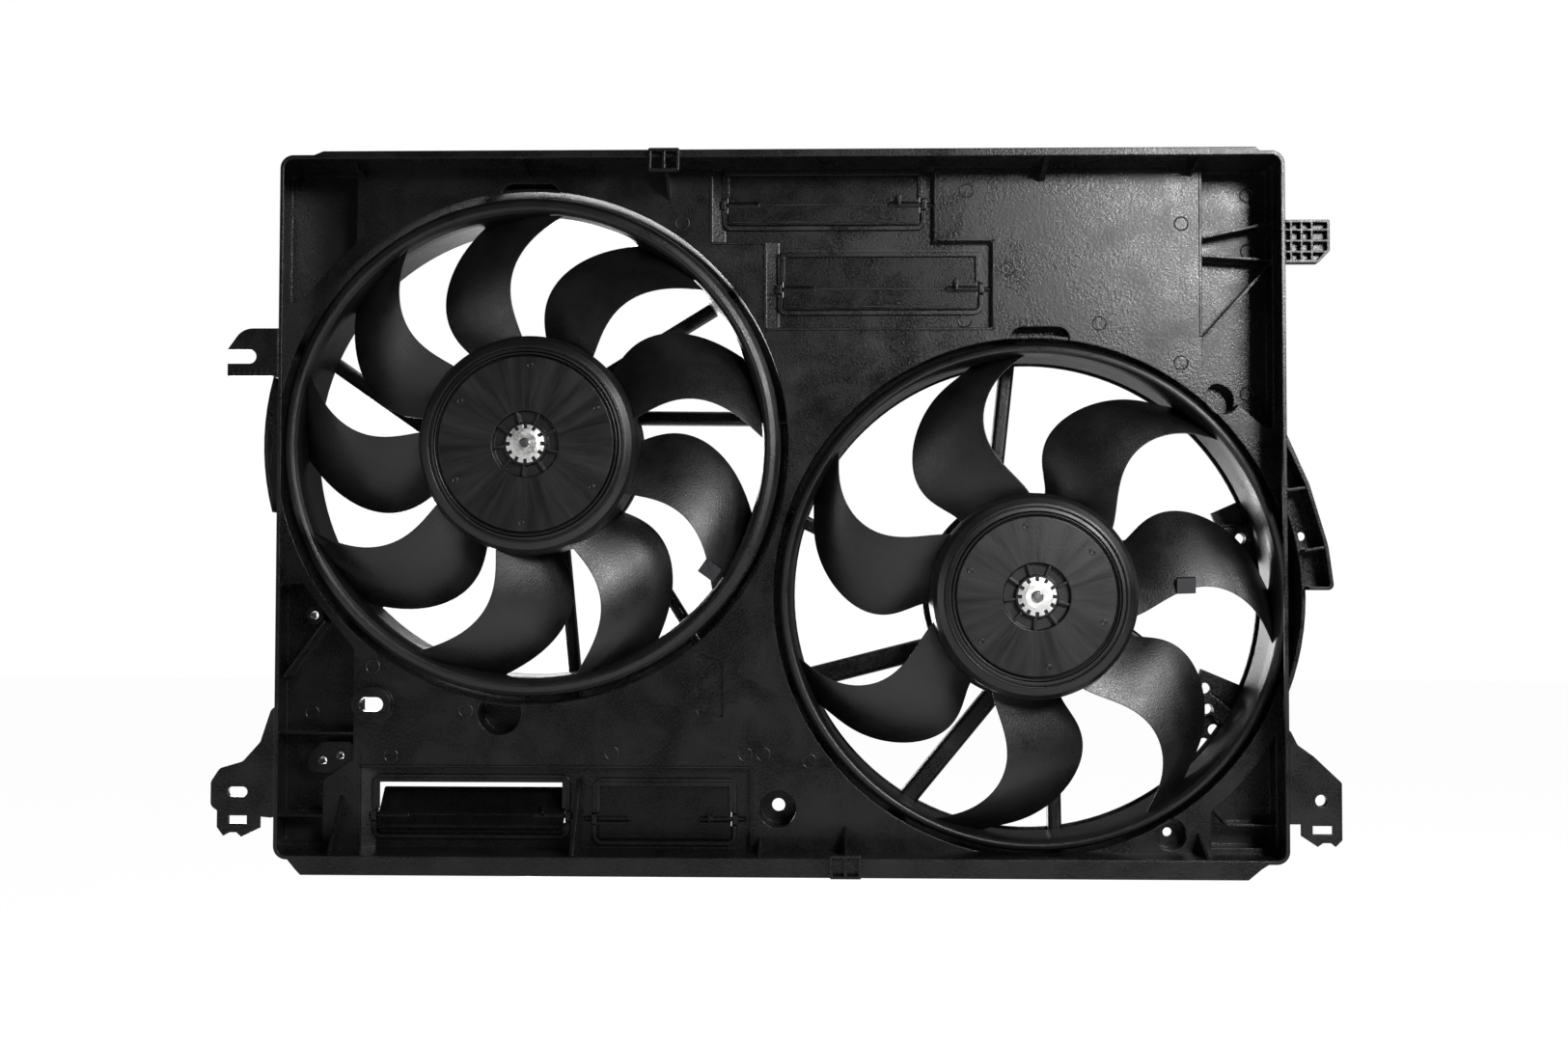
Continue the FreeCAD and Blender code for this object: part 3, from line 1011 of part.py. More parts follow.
def main():
    os.makedirs("parts", exist_ok=True)
    export("perimeter_wall", perimeter_wall())
    export("shroud_panel", shroud_panel())
    export("lower_left_bracket", lower_left_bracket())
    export("lower_right_bracket", lower_right_bracket())
    export("upper_left_bracket", upper_left_bracket())
    export("upper_right_bracket", upper_right_bracket())
    export("side_ear", side_ear())
    export("top_clip", hose_clip(TOP_CLIP, RIM_TOP + TOP_FLANGE, 1))
    export("bottom_clip", hose_clip(BOTTOM_CLIP, RIM_BOTTOM - BOTTOM_FLANGE, -1))
    for name, data in FLAPS.items():
        export(name + "_flap", flap(data))
    for fan in FANS:
        name = fan["name"] + "_"
        export(name + "fan_barrel", fan_barrel(fan))
        export(name + "motor_mount", motor_mount(fan))
        hub, ring = fan_hub(fan), band(fan)
        blades = fan_blades(fan, hub, ring)
        export(name + "fan_hub", hub)
        export(name + "fan_band", ring)
        export(name + "fan_blades", blades)
        export(name + "push_nut", push_nut(fan))
        export(name + "balance_clip", balance_clip(fan, blades))
        export(name + "shaft", shaft(fan))
        export(name + "armature_core", armature_core(fan))
        export(name + "armature_winding", winding(fan))
        export(name + "commutator", commutator(fan))
        export(name + "motor_case", motor_case(fan))
        export(name + "motor_end_plate", end_plate(fan))
        export(name + "front_bearing", bearing(fan, MOTOR_FRONT - END_PLATE, MOTOR_FRONT + 4.0))
        export(name + "rear_bearing", bearing(fan, MOTOR_REAR - CASE_WALL, MOTOR_REAR + 6.0 - GAP))
        export(name + "magnets", magnets(fan))
        export(name + "brush_card", brush_card(fan))
        export(name + "brushes", brushes(fan))
        export(name + "brush_springs", brush_springs(fan))
        export(name + "motor_screws", motor_screws(fan))
        export(name + "motor_connector", motor_connector(fan))


main()
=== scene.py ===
"""Finishes, small moulded details, light and camera for a twin-fan radiator shroud.

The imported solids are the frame. Every piece added here is a surface worked out with numpy in
the frame's coordinates: metres, X to the right seen from the radiator, Y rearwards to the
engine, Z up.
"""

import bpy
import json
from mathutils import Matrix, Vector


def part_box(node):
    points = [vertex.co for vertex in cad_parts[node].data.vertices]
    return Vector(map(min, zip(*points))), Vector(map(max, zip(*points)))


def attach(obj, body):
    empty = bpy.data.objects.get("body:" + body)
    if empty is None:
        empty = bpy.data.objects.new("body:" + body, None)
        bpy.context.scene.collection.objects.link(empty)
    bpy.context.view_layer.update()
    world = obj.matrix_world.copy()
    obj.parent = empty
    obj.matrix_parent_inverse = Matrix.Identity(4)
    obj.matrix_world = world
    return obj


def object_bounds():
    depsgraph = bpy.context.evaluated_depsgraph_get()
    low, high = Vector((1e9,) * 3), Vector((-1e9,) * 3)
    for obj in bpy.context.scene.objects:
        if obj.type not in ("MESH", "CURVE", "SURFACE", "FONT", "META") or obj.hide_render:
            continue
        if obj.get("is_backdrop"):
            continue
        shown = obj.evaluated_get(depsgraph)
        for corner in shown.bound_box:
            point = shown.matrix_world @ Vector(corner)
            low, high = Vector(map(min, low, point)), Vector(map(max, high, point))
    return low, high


bl_info = {
    "name": "Twin-fan radiator shroud",
    "version": (1, 0, 0),
    "blender": (4, 5, 0),
    "location": "View3D > Sidebar > Fan shroud",
    "description": "Dresses the solids of a radiator fan shroud and sets up its studio",
    "category": "Object",
}

import json
from math import cos, pi, radians, sin
from typing import NamedTuple

import bpy
import numpy as np
from bpy.props import FloatProperty, FloatVectorProperty, IntProperty, PointerProperty
from mathutils import Matrix, Vector

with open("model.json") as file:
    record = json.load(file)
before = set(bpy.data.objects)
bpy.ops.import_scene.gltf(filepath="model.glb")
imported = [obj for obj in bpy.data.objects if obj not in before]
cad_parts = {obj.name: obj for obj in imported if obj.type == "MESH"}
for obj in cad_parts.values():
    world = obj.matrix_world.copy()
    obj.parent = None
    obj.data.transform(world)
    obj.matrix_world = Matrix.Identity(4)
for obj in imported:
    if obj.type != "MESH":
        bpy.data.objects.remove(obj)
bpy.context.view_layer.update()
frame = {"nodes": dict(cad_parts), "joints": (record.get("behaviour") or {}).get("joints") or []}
NODES = frame["nodes"]

MM = 0.001
RIM_CENTRE = Vector((-0.36701, 0.0, 0.1995))   # centre of the front rim, from the mounting hole
PANEL_DEPTH = 36.0 * MM
SINK = 0.1 * MM                                # how deep a raised line starts in its surface


# ---- places of the details ----------------------------------------------------------------------
class Hub(NamedTuple):
    """Radii on the front of a fan's hub in millimetres, and the first pip's angle in degrees."""
    disc: float
    pips: float
    first_pip: float
    beads: tuple


HUBS = {"left": Hub(disc=61.5, pips=55.0, first_pip=27.0, beads=(63.4, 68.0)),
        "right": Hub(disc=55.5, pips=49.0, first_pip=39.0, beads=(57.4, 62.4))}
PIP_COUNT = 6
PIP_DEPTH = 0.6 * MM                  # from the hub's front to the disc that the pips stand on
PIP_PROFILE = ((0.35, 0.5), (0.5, -0.3), (0.8, -0.35), (1.0, 0.5))    # share of radius, depth in mm
BEAD_PROFILE = ((-0.7, 1.2), (-0.3, -0.4), (0.3, -0.4), (0.7, 1.2))   # from the radius, depth in mm

# Section of the ring round a pin's mark: share of the ring's width inside its outer edge, and
# 1 at its feet in the floor or -1 at its crest.
RING_PROFILE = ((1.0, 1), (0.7, -1), (0.3, -1), (0.0, 1))
# Centres of the ejector pins' marks, by the depth of the floor that they stand on. Centres are
# (x, z) from the rim's centre, all in millimetres.
PIN_MARKS = {
    36.0: ((-287.6, -112.6), (-221.3, -143.6), (-274.1, -175.4), (-69.4, 201.9), (225.1, 130.0),
           (282.7, 200.3), (282.0, 102.0), (161.3, 169.0), (21.0, -178.0), (-24.1, -173.4),
           (-11.3, -173.4), (-118.0, -173.0), (131.8, 224.4)),
    42.0: ((130.8, 133.1),),
    54.0: ((-335.8, -146.5), (332.6, 223.9), (332.9, 183.8), (332.0, 81.6))}

# Raised lines on the panel from end to end, as (x, z) from the rim's centre in millimetres:
# round the flap boxes, then beside the right pocket and at the left end of the lower box.
BOX_LINES = (((-49.2, 187.0), (-49.2, 239.5)), ((109.7, 189.0), (109.7, 239.5)),
             ((-49.2, 187.2), (-11.0, 187.2)), ((-10.8, 126.0), (-10.8, 187.0)),
             ((-10.8, 126.1), (150.8, 126.1)), ((150.8, 126.1), (150.8, 189.4)),
             ((109.7, 189.4), (150.8, 189.4)), ((-296.0, -182.6), (-19.2, -182.6)),
             ((-19.2, -239.0), (-19.2, -182.6)), ((-296.0, -239.0), (-296.0, -182.6)))
PANEL_LINES = (((295.8, 120.0), (295.8, 238.0)), ((-296.0, -182.6), (-296.0, -176.0)))

# Width and height of each kind of raised line.
BOX_SECTION = (2.0 * MM, 1.2 * MM)
PANEL_SECTION = (2.2 * MM, 0.9 * MM)
FORK_SECTION = (1.4 * MM, 0.9 * MM)
CREASE_SECTION = (1.3 * MM, 0.7 * MM)
LIP_SECTION = (1.2 * MM, 0.5 * MM)
CREST = 0.5                           # width of a raised line's crest, as a share of its foot

FLAP_NAMES = ("upper_left", "upper_right", "lower_left", "lower_right")
CORNER_RADIUS = 3.0 * MM              # of a flap's opening
CORNER_STEPS = 7                      # points on a quarter turn
FRAME_FOOT = 0.3 * MM                 # how deep a flap opening's frame starts in the floor
INNER_SLOPE, OUTER_SLOPE = 0.5 * MM, 0.6 * MM     # of the frame's two flanks, across the frame


def box_centre(node):
    """Middle between the two corners of a solid's box."""
    low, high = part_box(node)
    return (low + high) / 2


FAN_CENTRES = {side: box_centre(side + "_push_nut") for side in HUBS}


class FlapPlace:
    """Opening, hinge line and rest angle of a flap, from its solid's box and its joint."""
    pin_end = 9.5 * MM            # how far the pins stand out beyond the opening
    half_wall = 1.0 * MM
    gap = 0.4 * MM                # between the flap's edge and its opening
    hinge_rise = 0.6 * MM         # the hinge line lies this far in front of the box's floor

    def __init__(self, name):
        low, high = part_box(name + "_flap")
        joint = next(j for j in frame["joints"] if j["name"] == name + "_flap_hinge")
        self.depth, self.hinge = joint["pos_m"][1:]
        self.open = -radians(joint["range_deg"][0])
        self.left, self.right = low.x + self.pin_end, high.x - self.pin_end
        self.top = self.hinge + self.reach(high.z - self.hinge)
        self.bottom = self.hinge - self.reach(self.hinge - low.z)
        self.floor = self.depth + self.hinge_rise
        self.front = self.depth - self.half_wall

    def reach(self, height):
        """Distance from the hinge to the opening's edge, for a flap turned by its rest angle.

        (height - half wall x sine) / cosine of that angle is the flap's own length, and the gap
        comes on top."""
        return (height - self.half_wall * sin(self.open)) / cos(self.open) + self.gap

    def at_rest(self, points):
        """Points of the shut flap turned to its rest angle about the hinge line (along -X).

        From the hinge, y becomes y cos + z sin and z becomes -y sin + z cos of the angle."""
        y, z = points[:, 1] - self.depth, points[:, 2] - self.hinge
        turned = [points[:, 0], self.depth + y * cos(self.open) + z * sin(self.open),
                  self.hinge - y * sin(self.open) + z * cos(self.open)]
        return np.stack(turned, axis=-1)


# ---- finishes of the motors' pieces -------------------------------------------------------------
# name, colour, roughness, scale of the clouding, solids on each side
METALS = (
    ("spring_steel", (0.07, 0.07, 0.075), 0.42, 160.0, ("balance_clip",)),
    ("case_steel", (0.45, 0.46, 0.47), 0.36, 60.0, ("motor_case", "motor_end_plate")),
    ("ground_steel", (0.62, 0.62, 0.62), 0.22, 160.0, ("shaft", "brush_springs")),
    ("core_steel", (0.25, 0.25, 0.26), 0.5, 160.0, ("armature_core",)),
    ("copper", (0.62, 0.28, 0.14), 0.35, 160.0, ("armature_winding", "commutator")),
    ("bearing_bronze", (0.50, 0.34, 0.16), 0.5, 160.0, ("front_bearing", "rear_bearing")))
# name, colour, roughness, solid on each side
DULL_SOLIDS = (
    ("ferrite", (0.035, 0.035, 0.038), 0.6, "magnets"),
    ("carbon", (0.02, 0.02, 0.02), 0.5, "brushes"),
    ("card_plastic", (0.18, 0.09, 0.05), 0.5, "brush_card"))
CLOUD_START, CLOUD_END = 0.3, 0.7     # the stretch of a noise value that a finish uses


# ---- studio -------------------------------------------------------------------------------------
# Each lamp's place from LAMP_AIM, then its width and height, in metres.
LAMPS = {"key": ((0.76, -1.35, 0.56), (0.42, 0.34)),
         "side": ((1.30, -0.95, 0.88), (0.5, 0.5)),
         "fill": ((-1.4, -0.9, -0.1), (0.7, 0.9)),
         "back": ((-0.9, 1.7, -0.15), (0.9, 0.9)),
         "top": ((0.3, 0.5, 1.7), (0.9, 0.9))}
LAMP_AIM = RIM_CENTRE + Vector((0.0, 0.02, 0.0))
CAMERA_AIM = RIM_CENTRE + Vector((3.94, 0.0, -10.69)) * MM
SENSOR_WIDTH = 36.0                   # of the camera, in millimetres
FLOOR_REACH = 8.0                     # half of the floor's side, in metres


# ---- sizes and colours --------------------------------------------------------------------------
class ShroudFinish(bpy.types.PropertyGroup):
    """Colours and grain of the mouldings."""
    shroud_colour: FloatVectorProperty(
        name="Shroud colour", description="Colour of the shroud's filled plastic",
        subtype="COLOR", size=3, min=0.0, max=1.0, default=(0.0026, 0.0027, 0.0029))
    fan_colour: FloatVectorProperty(
        name="Fan colour", description="Colour of the fan wheels' plastic",
        subtype="COLOR", size=3, min=0.0, max=1.0, default=(0.0026, 0.0026, 0.0028))
    flap_colour: FloatVectorProperty(
        name="Flap colour", description="Colour of the ram-air flaps",
        subtype="COLOR", size=3, min=0.0, max=1.0, default=(0.0022, 0.0022, 0.0024))
    zinc_colour: FloatVectorProperty(
        name="Zinc colour", description="Colour of the plated spring steel",
        subtype="COLOR", size=3, min=0.0, max=1.0, default=(0.80, 0.80, 0.79))
    edge_radius: FloatProperty(
        name="Edge radius", description="Radius that softens the mouldings' edges",
        unit="LENGTH", min=0.0, default=1.2 * MM)
    speckle: FloatProperty(
        name="Speckle", description="Change of roughness from grain to grain",
        min=0.0, default=0.10)
    grain_depth: FloatProperty(
        name="Grain depth", description="Depth of the moulded grain",
        unit="LENGTH", min=0.0, default=0.2 * MM)


class ShroudDetail(bpy.types.PropertyGroup):
    """Sizes of the small moulded details."""
    mark_radius: FloatProperty(
        name="Mark radius", description="Radius of an ejector pin's mark",
        unit="LENGTH", min=0.0, default=5.6 * MM)
    mark_height: FloatProperty(
        name="Mark height", description="Height of the raised edge of an ejector pin's mark",
        unit="LENGTH", min=0.0, default=0.8 * MM)
    mark_line: FloatProperty(
        name="Mark line", description="Width of the raised ring of an ejector pin's mark",
        unit="LENGTH", min=0.0, default=1.8 * MM)
    pip_radius: FloatProperty(
        name="Pip radius", description="Radius of the pips on the hub discs",
        unit="LENGTH", min=0.0, default=2.6 * MM)
    frame_inner: FloatProperty(
        name="Frame inset", description="Gap between a flap opening and its raised frame",
        unit="LENGTH", min=0.0, default=0.6 * MM)
    frame_outer: FloatProperty(
        name="Frame width", description="Reach of a flap opening's raised frame",
        unit="LENGTH", min=0.0, default=4.0 * MM)
    frame_height: FloatProperty(
        name="Frame height", description="Height of a flap opening's raised frame",
        unit="LENGTH", min=0.0, default=2.6 * MM)
    pin_clearance: FloatProperty(
        name="Pin clearance", description="Room that the frames leave beside a flap's pins",
        unit="LENGTH", min=0.0, default=4.6 * MM)
    sill_height: FloatProperty(
        name="Sill height", description="Height of the bar behind a flap's lower edge",
        unit="LENGTH", min=0.0, default=4.6 * MM)
    crease_inset: FloatProperty(
        name="Crease inset", description="Distance of a flap's crease from its ends",
        unit="LENGTH", min=0.0, default=23.0 * MM)
    round_steps: IntProperty(
        name="Round steps", description="Steps round a small turned detail", min=12, default=48)


class ShroudStudio(bpy.types.PropertyGroup):
    """Light, floor and camera."""
    key_power: FloatProperty(
        name="Key power", description="Power of the soft lamp at the upper right",
        unit="POWER", min=0.0, default=22.0)
    side_power: FloatProperty(
        name="Side power", description="Power of the lamp far out at the upper right",
        unit="POWER", min=0.0, default=14.0)
    fill_power: FloatProperty(
        name="Fill power", description="Power of the wide lamp at the left",
        unit="POWER", min=0.0, default=4.0)
    back_power: FloatProperty(
        name="Back power", description="Power of the soft lamp behind the shroud",
        unit="POWER", min=0.0, default=40.0)
    top_power: FloatProperty(
        name="Top power", description="Power of the soft lamp above the shroud",
        unit="POWER", min=0.0, default=16.0)
    room_strength: FloatProperty(
        name="Room strength", description="Strength of the plain room light",
        min=0.0, default=0.07)
    floor_drop: FloatProperty(
        name="Floor drop", description="Gap between the object and the floor",
        unit="LENGTH", min=0.0, default=0.32)
    floor_glow: FloatProperty(
        name="Floor glow", description="Strength of the glow that the camera sees on the floor",
        min=0.0, default=1.14)
    floor_share: FloatProperty(
        name="Floor share", description="Share of that glow in what the camera sees",
        min=0.0, max=1.0, default=0.85)
    lens: FloatProperty(
        name="Lens", description="Focal length of the camera in millimetres",
        min=1.0, default=40.276)
    distance: FloatProperty(
        name="Distance", description="Distance from the camera to its target",
        unit="LENGTH", min=0.1, default=1.2)
    azimuth: FloatProperty(
        name="Azimuth", description="Turn of the camera to the right",
        subtype="ANGLE", default=radians(1.502))
    elevation: FloatProperty(
        name="Elevation", description="Height of the camera as an angle",
        subtype="ANGLE", default=radians(-1.914))
    roll: FloatProperty(
        name="Roll", description="Turn of the camera about its own axis",
        subtype="ANGLE", default=radians(0.085))


# ---- numpy surfaces -----------------------------------------------------------------------------
def grid_faces(rows, columns):
    """Quads between neighbours of a grid of points whose last column is joined to its first."""
    row = np.arange(rows - 1)[:, None]
    column = np.arange(columns)[None, :]
    after = (column + 1) % columns
    quads = np.stack([row * columns + column, row * columns + after,
                      (row + 1) * columns + after, (row + 1) * columns + column], axis=-1)
    return quads.reshape(-1, 4)


def new_piece(name, points, faces, material, body, slot, smooth=True):
    """Mesh object from arrays of points and faces, which rides on a body."""
    mesh = bpy.data.meshes.new(name)
    mesh.from_pydata(points.tolist(), [], faces.tolist())
    mesh.polygons.foreach_set("use_smooth", np.full(len(mesh.polygons), smooth))
    mesh.materials.append(material)
    mesh.update()
    piece = bpy.data.objects.new(name, mesh)
    bpy.context.scene.collection.objects.link(piece)
    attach(piece, body)


def turned_surface(profile, centres, steps):
    """Closed rings turned about Y.

    For a profile point (r, y) and an angle t the surface is centre + (r cos t, y, r sin t);
    the profile's last point is joined to its first."""
    profile = np.asarray(profile, float)
    angle = np.linspace(0.0, 2 * pi, steps, endpoint=False)
    radius, depth = profile[:, :1], profile[:, 1:2]
    one = np.stack([radius * np.cos(angle), depth + 0.0 * angle, radius * np.sin(angle)], axis=-1)
    centres = np.asarray(centres, float).reshape(-1, 3)
    points = (centres[:, None, None, :] + one[None]).reshape(-1, 3)
    faces = grid_faces(len(profile) + 1, steps)[:, ::-1] % (len(profile) * steps)
    offsets = np.arange(len(centres))[:, None, None] * one.shape[0] * one.shape[1]
    return points, (faces[None] + offsets).reshape(-1, 4)


def merged(parts):
    """One pair of arrays from several pairs of points and quads.

    Each pair's quads move up by the number of points before it."""
    offsets = np.cumsum([0] + [len(points) for points, faces in parts[:-1]])
    return (np.concatenate([points for points, faces in parts]),
            np.concatenate([faces + start for (points, faces), start in zip(parts, offsets)]))


def swept(rings):
    """Closed bar through quadrilateral sections, given as an array of sections x 4 corners x 3.

    Quads join each section to the next, and one cap closes each end."""
    last = 4 * (len(rings) - 1)
    caps = np.array([[3, 2, 1, 0], [last, last + 1, last + 2, last + 3]])
    return rings.reshape(-1, 3), np.concatenate([grid_faces(len(rings), 4), caps])


def u_ridge(left, right, end, far, floor, detail):
    """Raised frame round one half of an opening: down one side, along the far edge and up again.

    At an offset d from the opening both corners are arcs of radius r + d, so that the section
    keeps its shape: corner + (r + d) (cos t, sin t) for a quarter turn of t."""
    down = 1.0 if far < end else -1.0
    quarter = np.linspace(0.0, pi / 2, CORNER_STEPS)
    inner, outer, crest = detail.frame_inner, detail.frame_outer, -detail.frame_height
    section = [(inner, FRAME_FOOT), (inner + INNER_SLOPE, crest),
               (outer - OUTER_SLOPE, crest), (outer, FRAME_FOOT)]
    corners = []
    for offset, height in section:
        reach = CORNER_RADIUS + offset
        across = np.concatenate([[left - offset], left + CORNER_RADIUS - reach * np.cos(quarter),
                                 right - CORNER_RADIUS + reach * np.sin(quarter),
                                 [right + offset]])
        drop = np.concatenate([reach * np.sin(quarter), reach * np.cos(quarter)])
        up = np.concatenate([[end], far + down * (CORNER_RADIUS - drop), [end]])
        corners.append(np.stack([across, np.full(len(across), floor + height), up], axis=-1))
    rings = np.stack(corners, axis=1)
    return swept(rings if down > 0 else rings[::-1])


def straight_ridge(start, end, width, height):
    """Raised line on a surface that faces forwards, with ends that slope down to it.

    Each station's section is place +- side at the foot and place +- CREST side + rise at the
    crest, with no rise at the two ends; the slopes at the ends are as long as the line is high."""
    start, end = np.array(start, float), np.array(end, float)
    along = (end - start) / np.linalg.norm(end - start)
    side = np.cross(along, (0.0, 1.0, 0.0)) * width / 2
    places = np.stack([start, start + along * height, end - along * height, end])
    across = np.array([1.0, CREST, -CREST, -1.0])
    rise = np.zeros((4, 4, 3))
    rise[1:3, 1:3, 1] = -height
    return swept(places[:, None] + across[:, None] * side + rise)


def ridge_at(start, end, depth, width, height):
    """Straight ridge on a floor at a depth; ends are (x, z) in mm from the rim's centre."""
    ends = [(RIM_CENTRE.x + x * MM, depth + SINK, RIM_CENTRE.z + z * MM) for x, z in (start, end)]
    return straight_ridge(*ends, width, height)


# ---- materials ----------------------------------------------------------------------------------
def shader(name):
    """New material with its node tree and its surface node."""
    material = bpy.data.materials.new(name)
    material.use_nodes = True
    return material, material.node_tree, material.node_tree.nodes["Principled BSDF"]


def noise(tree, vector, scale, detail, roughness=0.55, distortion=0.0):
    """Clouds of noise: scale is their number per metre, detail the number of finer layers."""
    node = tree.nodes.new("ShaderNodeTexNoise")
    node.inputs["Scale"].default_value = scale
    node.inputs["Detail"].default_value = detail
    node.inputs["Roughness"].default_value = roughness
    node.inputs["Distortion"].default_value = distortion
    tree.links.new(vector, node.inputs["Vector"])
    return node.outputs["Fac"]


def spread(tree, value, low, high):
    """Maps a noise value's useful stretch to a range, in a straight line."""
    node = tree.nodes.new("ShaderNodeMapRange")
    node.inputs["From Min"].default_value = CLOUD_START
    node.inputs["From Max"].default_value = CLOUD_END
    node.inputs["To Min"].default_value = low
    node.inputs["To Max"].default_value = high
    tree.links.new(value, node.inputs["Value"])
    return node.outputs["Result"]


def tint(tree, value, colour, low, high):
    """Colour times a share that runs from low to high with the value."""
    node = tree.nodes.new("ShaderNodeValToRGB")
    stops = node.color_ramp.elements
    for stop, position, share in zip(stops, (CLOUD_START, CLOUD_END), (low, high)):
        stop.position = position
        stop.color = (*[c * share for c in colour], 1.0)
    tree.links.new(value, node.inputs["Fac"])
    return node.outputs["Color"]


def arithmetic(tree, operation, first, second=0.0):
    """One step of arithmetic on two values, each a number or another node's output."""
    node = tree.nodes.new("ShaderNodeMath")
    node.operation = operation
    for socket, value in zip(node.inputs, (first, second)):
        if isinstance(value, (int, float)):
            socket.default_value = value
        else:
            tree.links.new(value, socket)
    return node.outputs[0]


def bump(tree, height, distance, strength, normal=None):
    """Normal tilted by the slope of a height, which runs from 0 to 1 over the distance."""
    node = tree.nodes.new("ShaderNodeBump")
    node.inputs["Distance"].default_value = distance
    node.inputs["Strength"].default_value = strength
    tree.links.new(height, node.inputs["Height"])
    if normal is not None:
        tree.links.new(normal, node.inputs["Normal"])
    return node.outputs["Normal"]


def soft_edges(tree, radius):
    """Normal averaged over a small radius, which rounds the look of an edge."""
    node = tree.nodes.new("ShaderNodeBevel")
    node.samples = 4
    node.inputs["Radius"].default_value = radius
    return node.outputs["Normal"]


def object_coordinates(tree, centre=None):
    """Place on the object, less the centre where one is given."""
    node = tree.nodes.new("ShaderNodeTexCoord")
    if centre is None:
        return node.outputs["Object"]
    mapping = tree.nodes.new("ShaderNodeMapping")
    mapping.inputs["Location"].default_value = -Vector(centre)
    tree.links.new(node.outputs["Object"], mapping.inputs["Vector"])
    return mapping.outputs["Vector"]


def moulded_plastic(name, colour, rough, grain, specular, blotch=26.0, soft=True):
    """Filled black plastic: fine leather grain, blotches of gloss and softened edges.

    Roughness is the blotches' range plus or minus the speckle; the normal is the soft edge, then
    the pebbles of the grain, then a finer grain a third as deep."""
    finish = bpy.context.scene.shroud_finish
    material, tree, surface = shader(name)
    place = object_coordinates(tree)
    cloud = noise(tree, place, blotch, detail=5.0, roughness=0.6, distortion=0.4)
    tree.links.new(tint(tree, cloud, colour, low=0.75, high=1.5), surface.inputs["Base Color"])
    speckle = noise(tree, place, grain * 1.6, detail=2.0, roughness=0.6)
    gloss = arithmetic(tree, "ADD", spread(tree, cloud, *rough),
                       spread(tree, speckle, -finish.speckle, finish.speckle))
    tree.links.new(gloss, surface.inputs["Roughness"])
    edges = soft_edges(tree, finish.edge_radius) if soft else None
    coarse = noise(tree, place, grain, detail=3.0, roughness=0.6)
    pebbles = bump(tree, coarse, finish.grain_depth, strength=0.8, normal=edges)
    tiny = noise(tree, place, grain * 4.5, detail=2.0, roughness=0.5)
    fine = bump(tree, tiny, finish.grain_depth / 3, strength=0.5, normal=pebbles)
    tree.links.new(fine, surface.inputs["Normal"])
    surface.inputs["IOR"].default_value = 1.5
    surface.inputs["Specular IOR Level"].default_value = specular
    return material


def hub_plastic(name, colour, centre, disc):
    """Fan plastic with streaks that run out from the gate at the middle of the hub.

    On the front disc the pattern is noise at (5 sin t, 5 cos t, 14 r) for an angle t and a
    radius r, so that it changes fast round the disc and slowly along a radius. Elsewhere it is
    plain clouds."""
    round_change, out_change, disc_depth = 5.0, 14.0, 5.0 * MM
    finish = bpy.context.scene.shroud_finish
    material, tree, surface = shader(name)
    place = object_coordinates(tree)
    split = tree.nodes.new("ShaderNodeSeparateXYZ")
    tree.links.new(object_coordinates(tree, centre), split.inputs[0])
    across, depth, up = split.outputs
    angle = arithmetic(tree, "ARCTAN2", up, across)
    square = arithmetic(tree, "ADD", arithmetic(tree, "MULTIPLY", across, across),
                        arithmetic(tree, "MULTIPLY", up, up))
    radius = arithmetic(tree, "SQRT", square)
    fan_out = tree.nodes.new("ShaderNodeCombineXYZ")
    for socket, operation in zip(fan_out.inputs, ("SINE", "COSINE")):
        wave = arithmetic(tree, operation, angle)
        tree.links.new(arithmetic(tree, "MULTIPLY", wave, round_change), socket)
    tree.links.new(arithmetic(tree, "MULTIPLY", radius, out_change), fan_out.inputs[2])
    streaks = noise(tree, fan_out.outputs[0], scale=1.2, detail=4.0, roughness=0.6,
                    distortion=0.3)
    on_disc = arithmetic(tree, "MULTIPLY", arithmetic(tree, "LESS_THAN", radius, disc),
                         arithmetic(tree, "LESS_THAN", depth, disc_depth))
    cloud = noise(tree, place, scale=24.0, detail=5.0, roughness=0.6, distortion=0.4)
    mixed = tree.nodes.new("ShaderNodeMix")
    mixed.data_type = "FLOAT"
    tree.links.new(on_disc, mixed.inputs[0])
    tree.links.new(cloud, mixed.inputs[2])
    tree.links.new(streaks, mixed.inputs[3])
    pattern = mixed.outputs[0]
    tree.links.new(tint(tree, pattern, colour, low=0.8, high=3.2), surface.inputs["Base Color"])
    tree.links.new(spread(tree, pattern, low=0.31, high=0.47), surface.inputs["Roughness"])
    edges = soft_edges(tree, finish.edge_radius)
    grain = noise(tree, place, scale=520.0, detail=3.0, roughness=0.6)
    pebbles = bump(tree, grain, finish.grain_depth, strength=0.35, normal=edges)
    tree.links.new(pebbles, surface.inputs["Normal"])
    surface.inputs["Specular IOR Level"].default_value = 0.5
    return material


def plated_metal(name, colour, rough, scale):
    """Plated or ground metal with faint clouding in its colour and gloss, and a fine tooth."""
    tooth_depth = 0.02 * MM
    finish = bpy.context.scene.shroud_finish
    material, tree, surface = shader(name)
    place = object_coordinates(tree)
    cloud = noise(tree, place, scale, detail=4.0, roughness=0.6)
    tree.links.new(tint(tree, cloud, colour, low=0.85, high=1.0), surface.inputs["Base Color"])
    tree.links.new(spread(tree, cloud, rough * 0.8, rough * 1.3), surface.inputs["Roughness"])
    edges = soft_edges(tree, finish.edge_radius / 3)
    tooth = bump(tree, noise(tree, place, scale * 8, detail=2.0), tooth_depth, strength=0.4,
                 normal=edges)
    tree.links.new(tooth, surface.inputs["Normal"])
    surface.inputs["Metallic"].default_value = 1.0
    return material


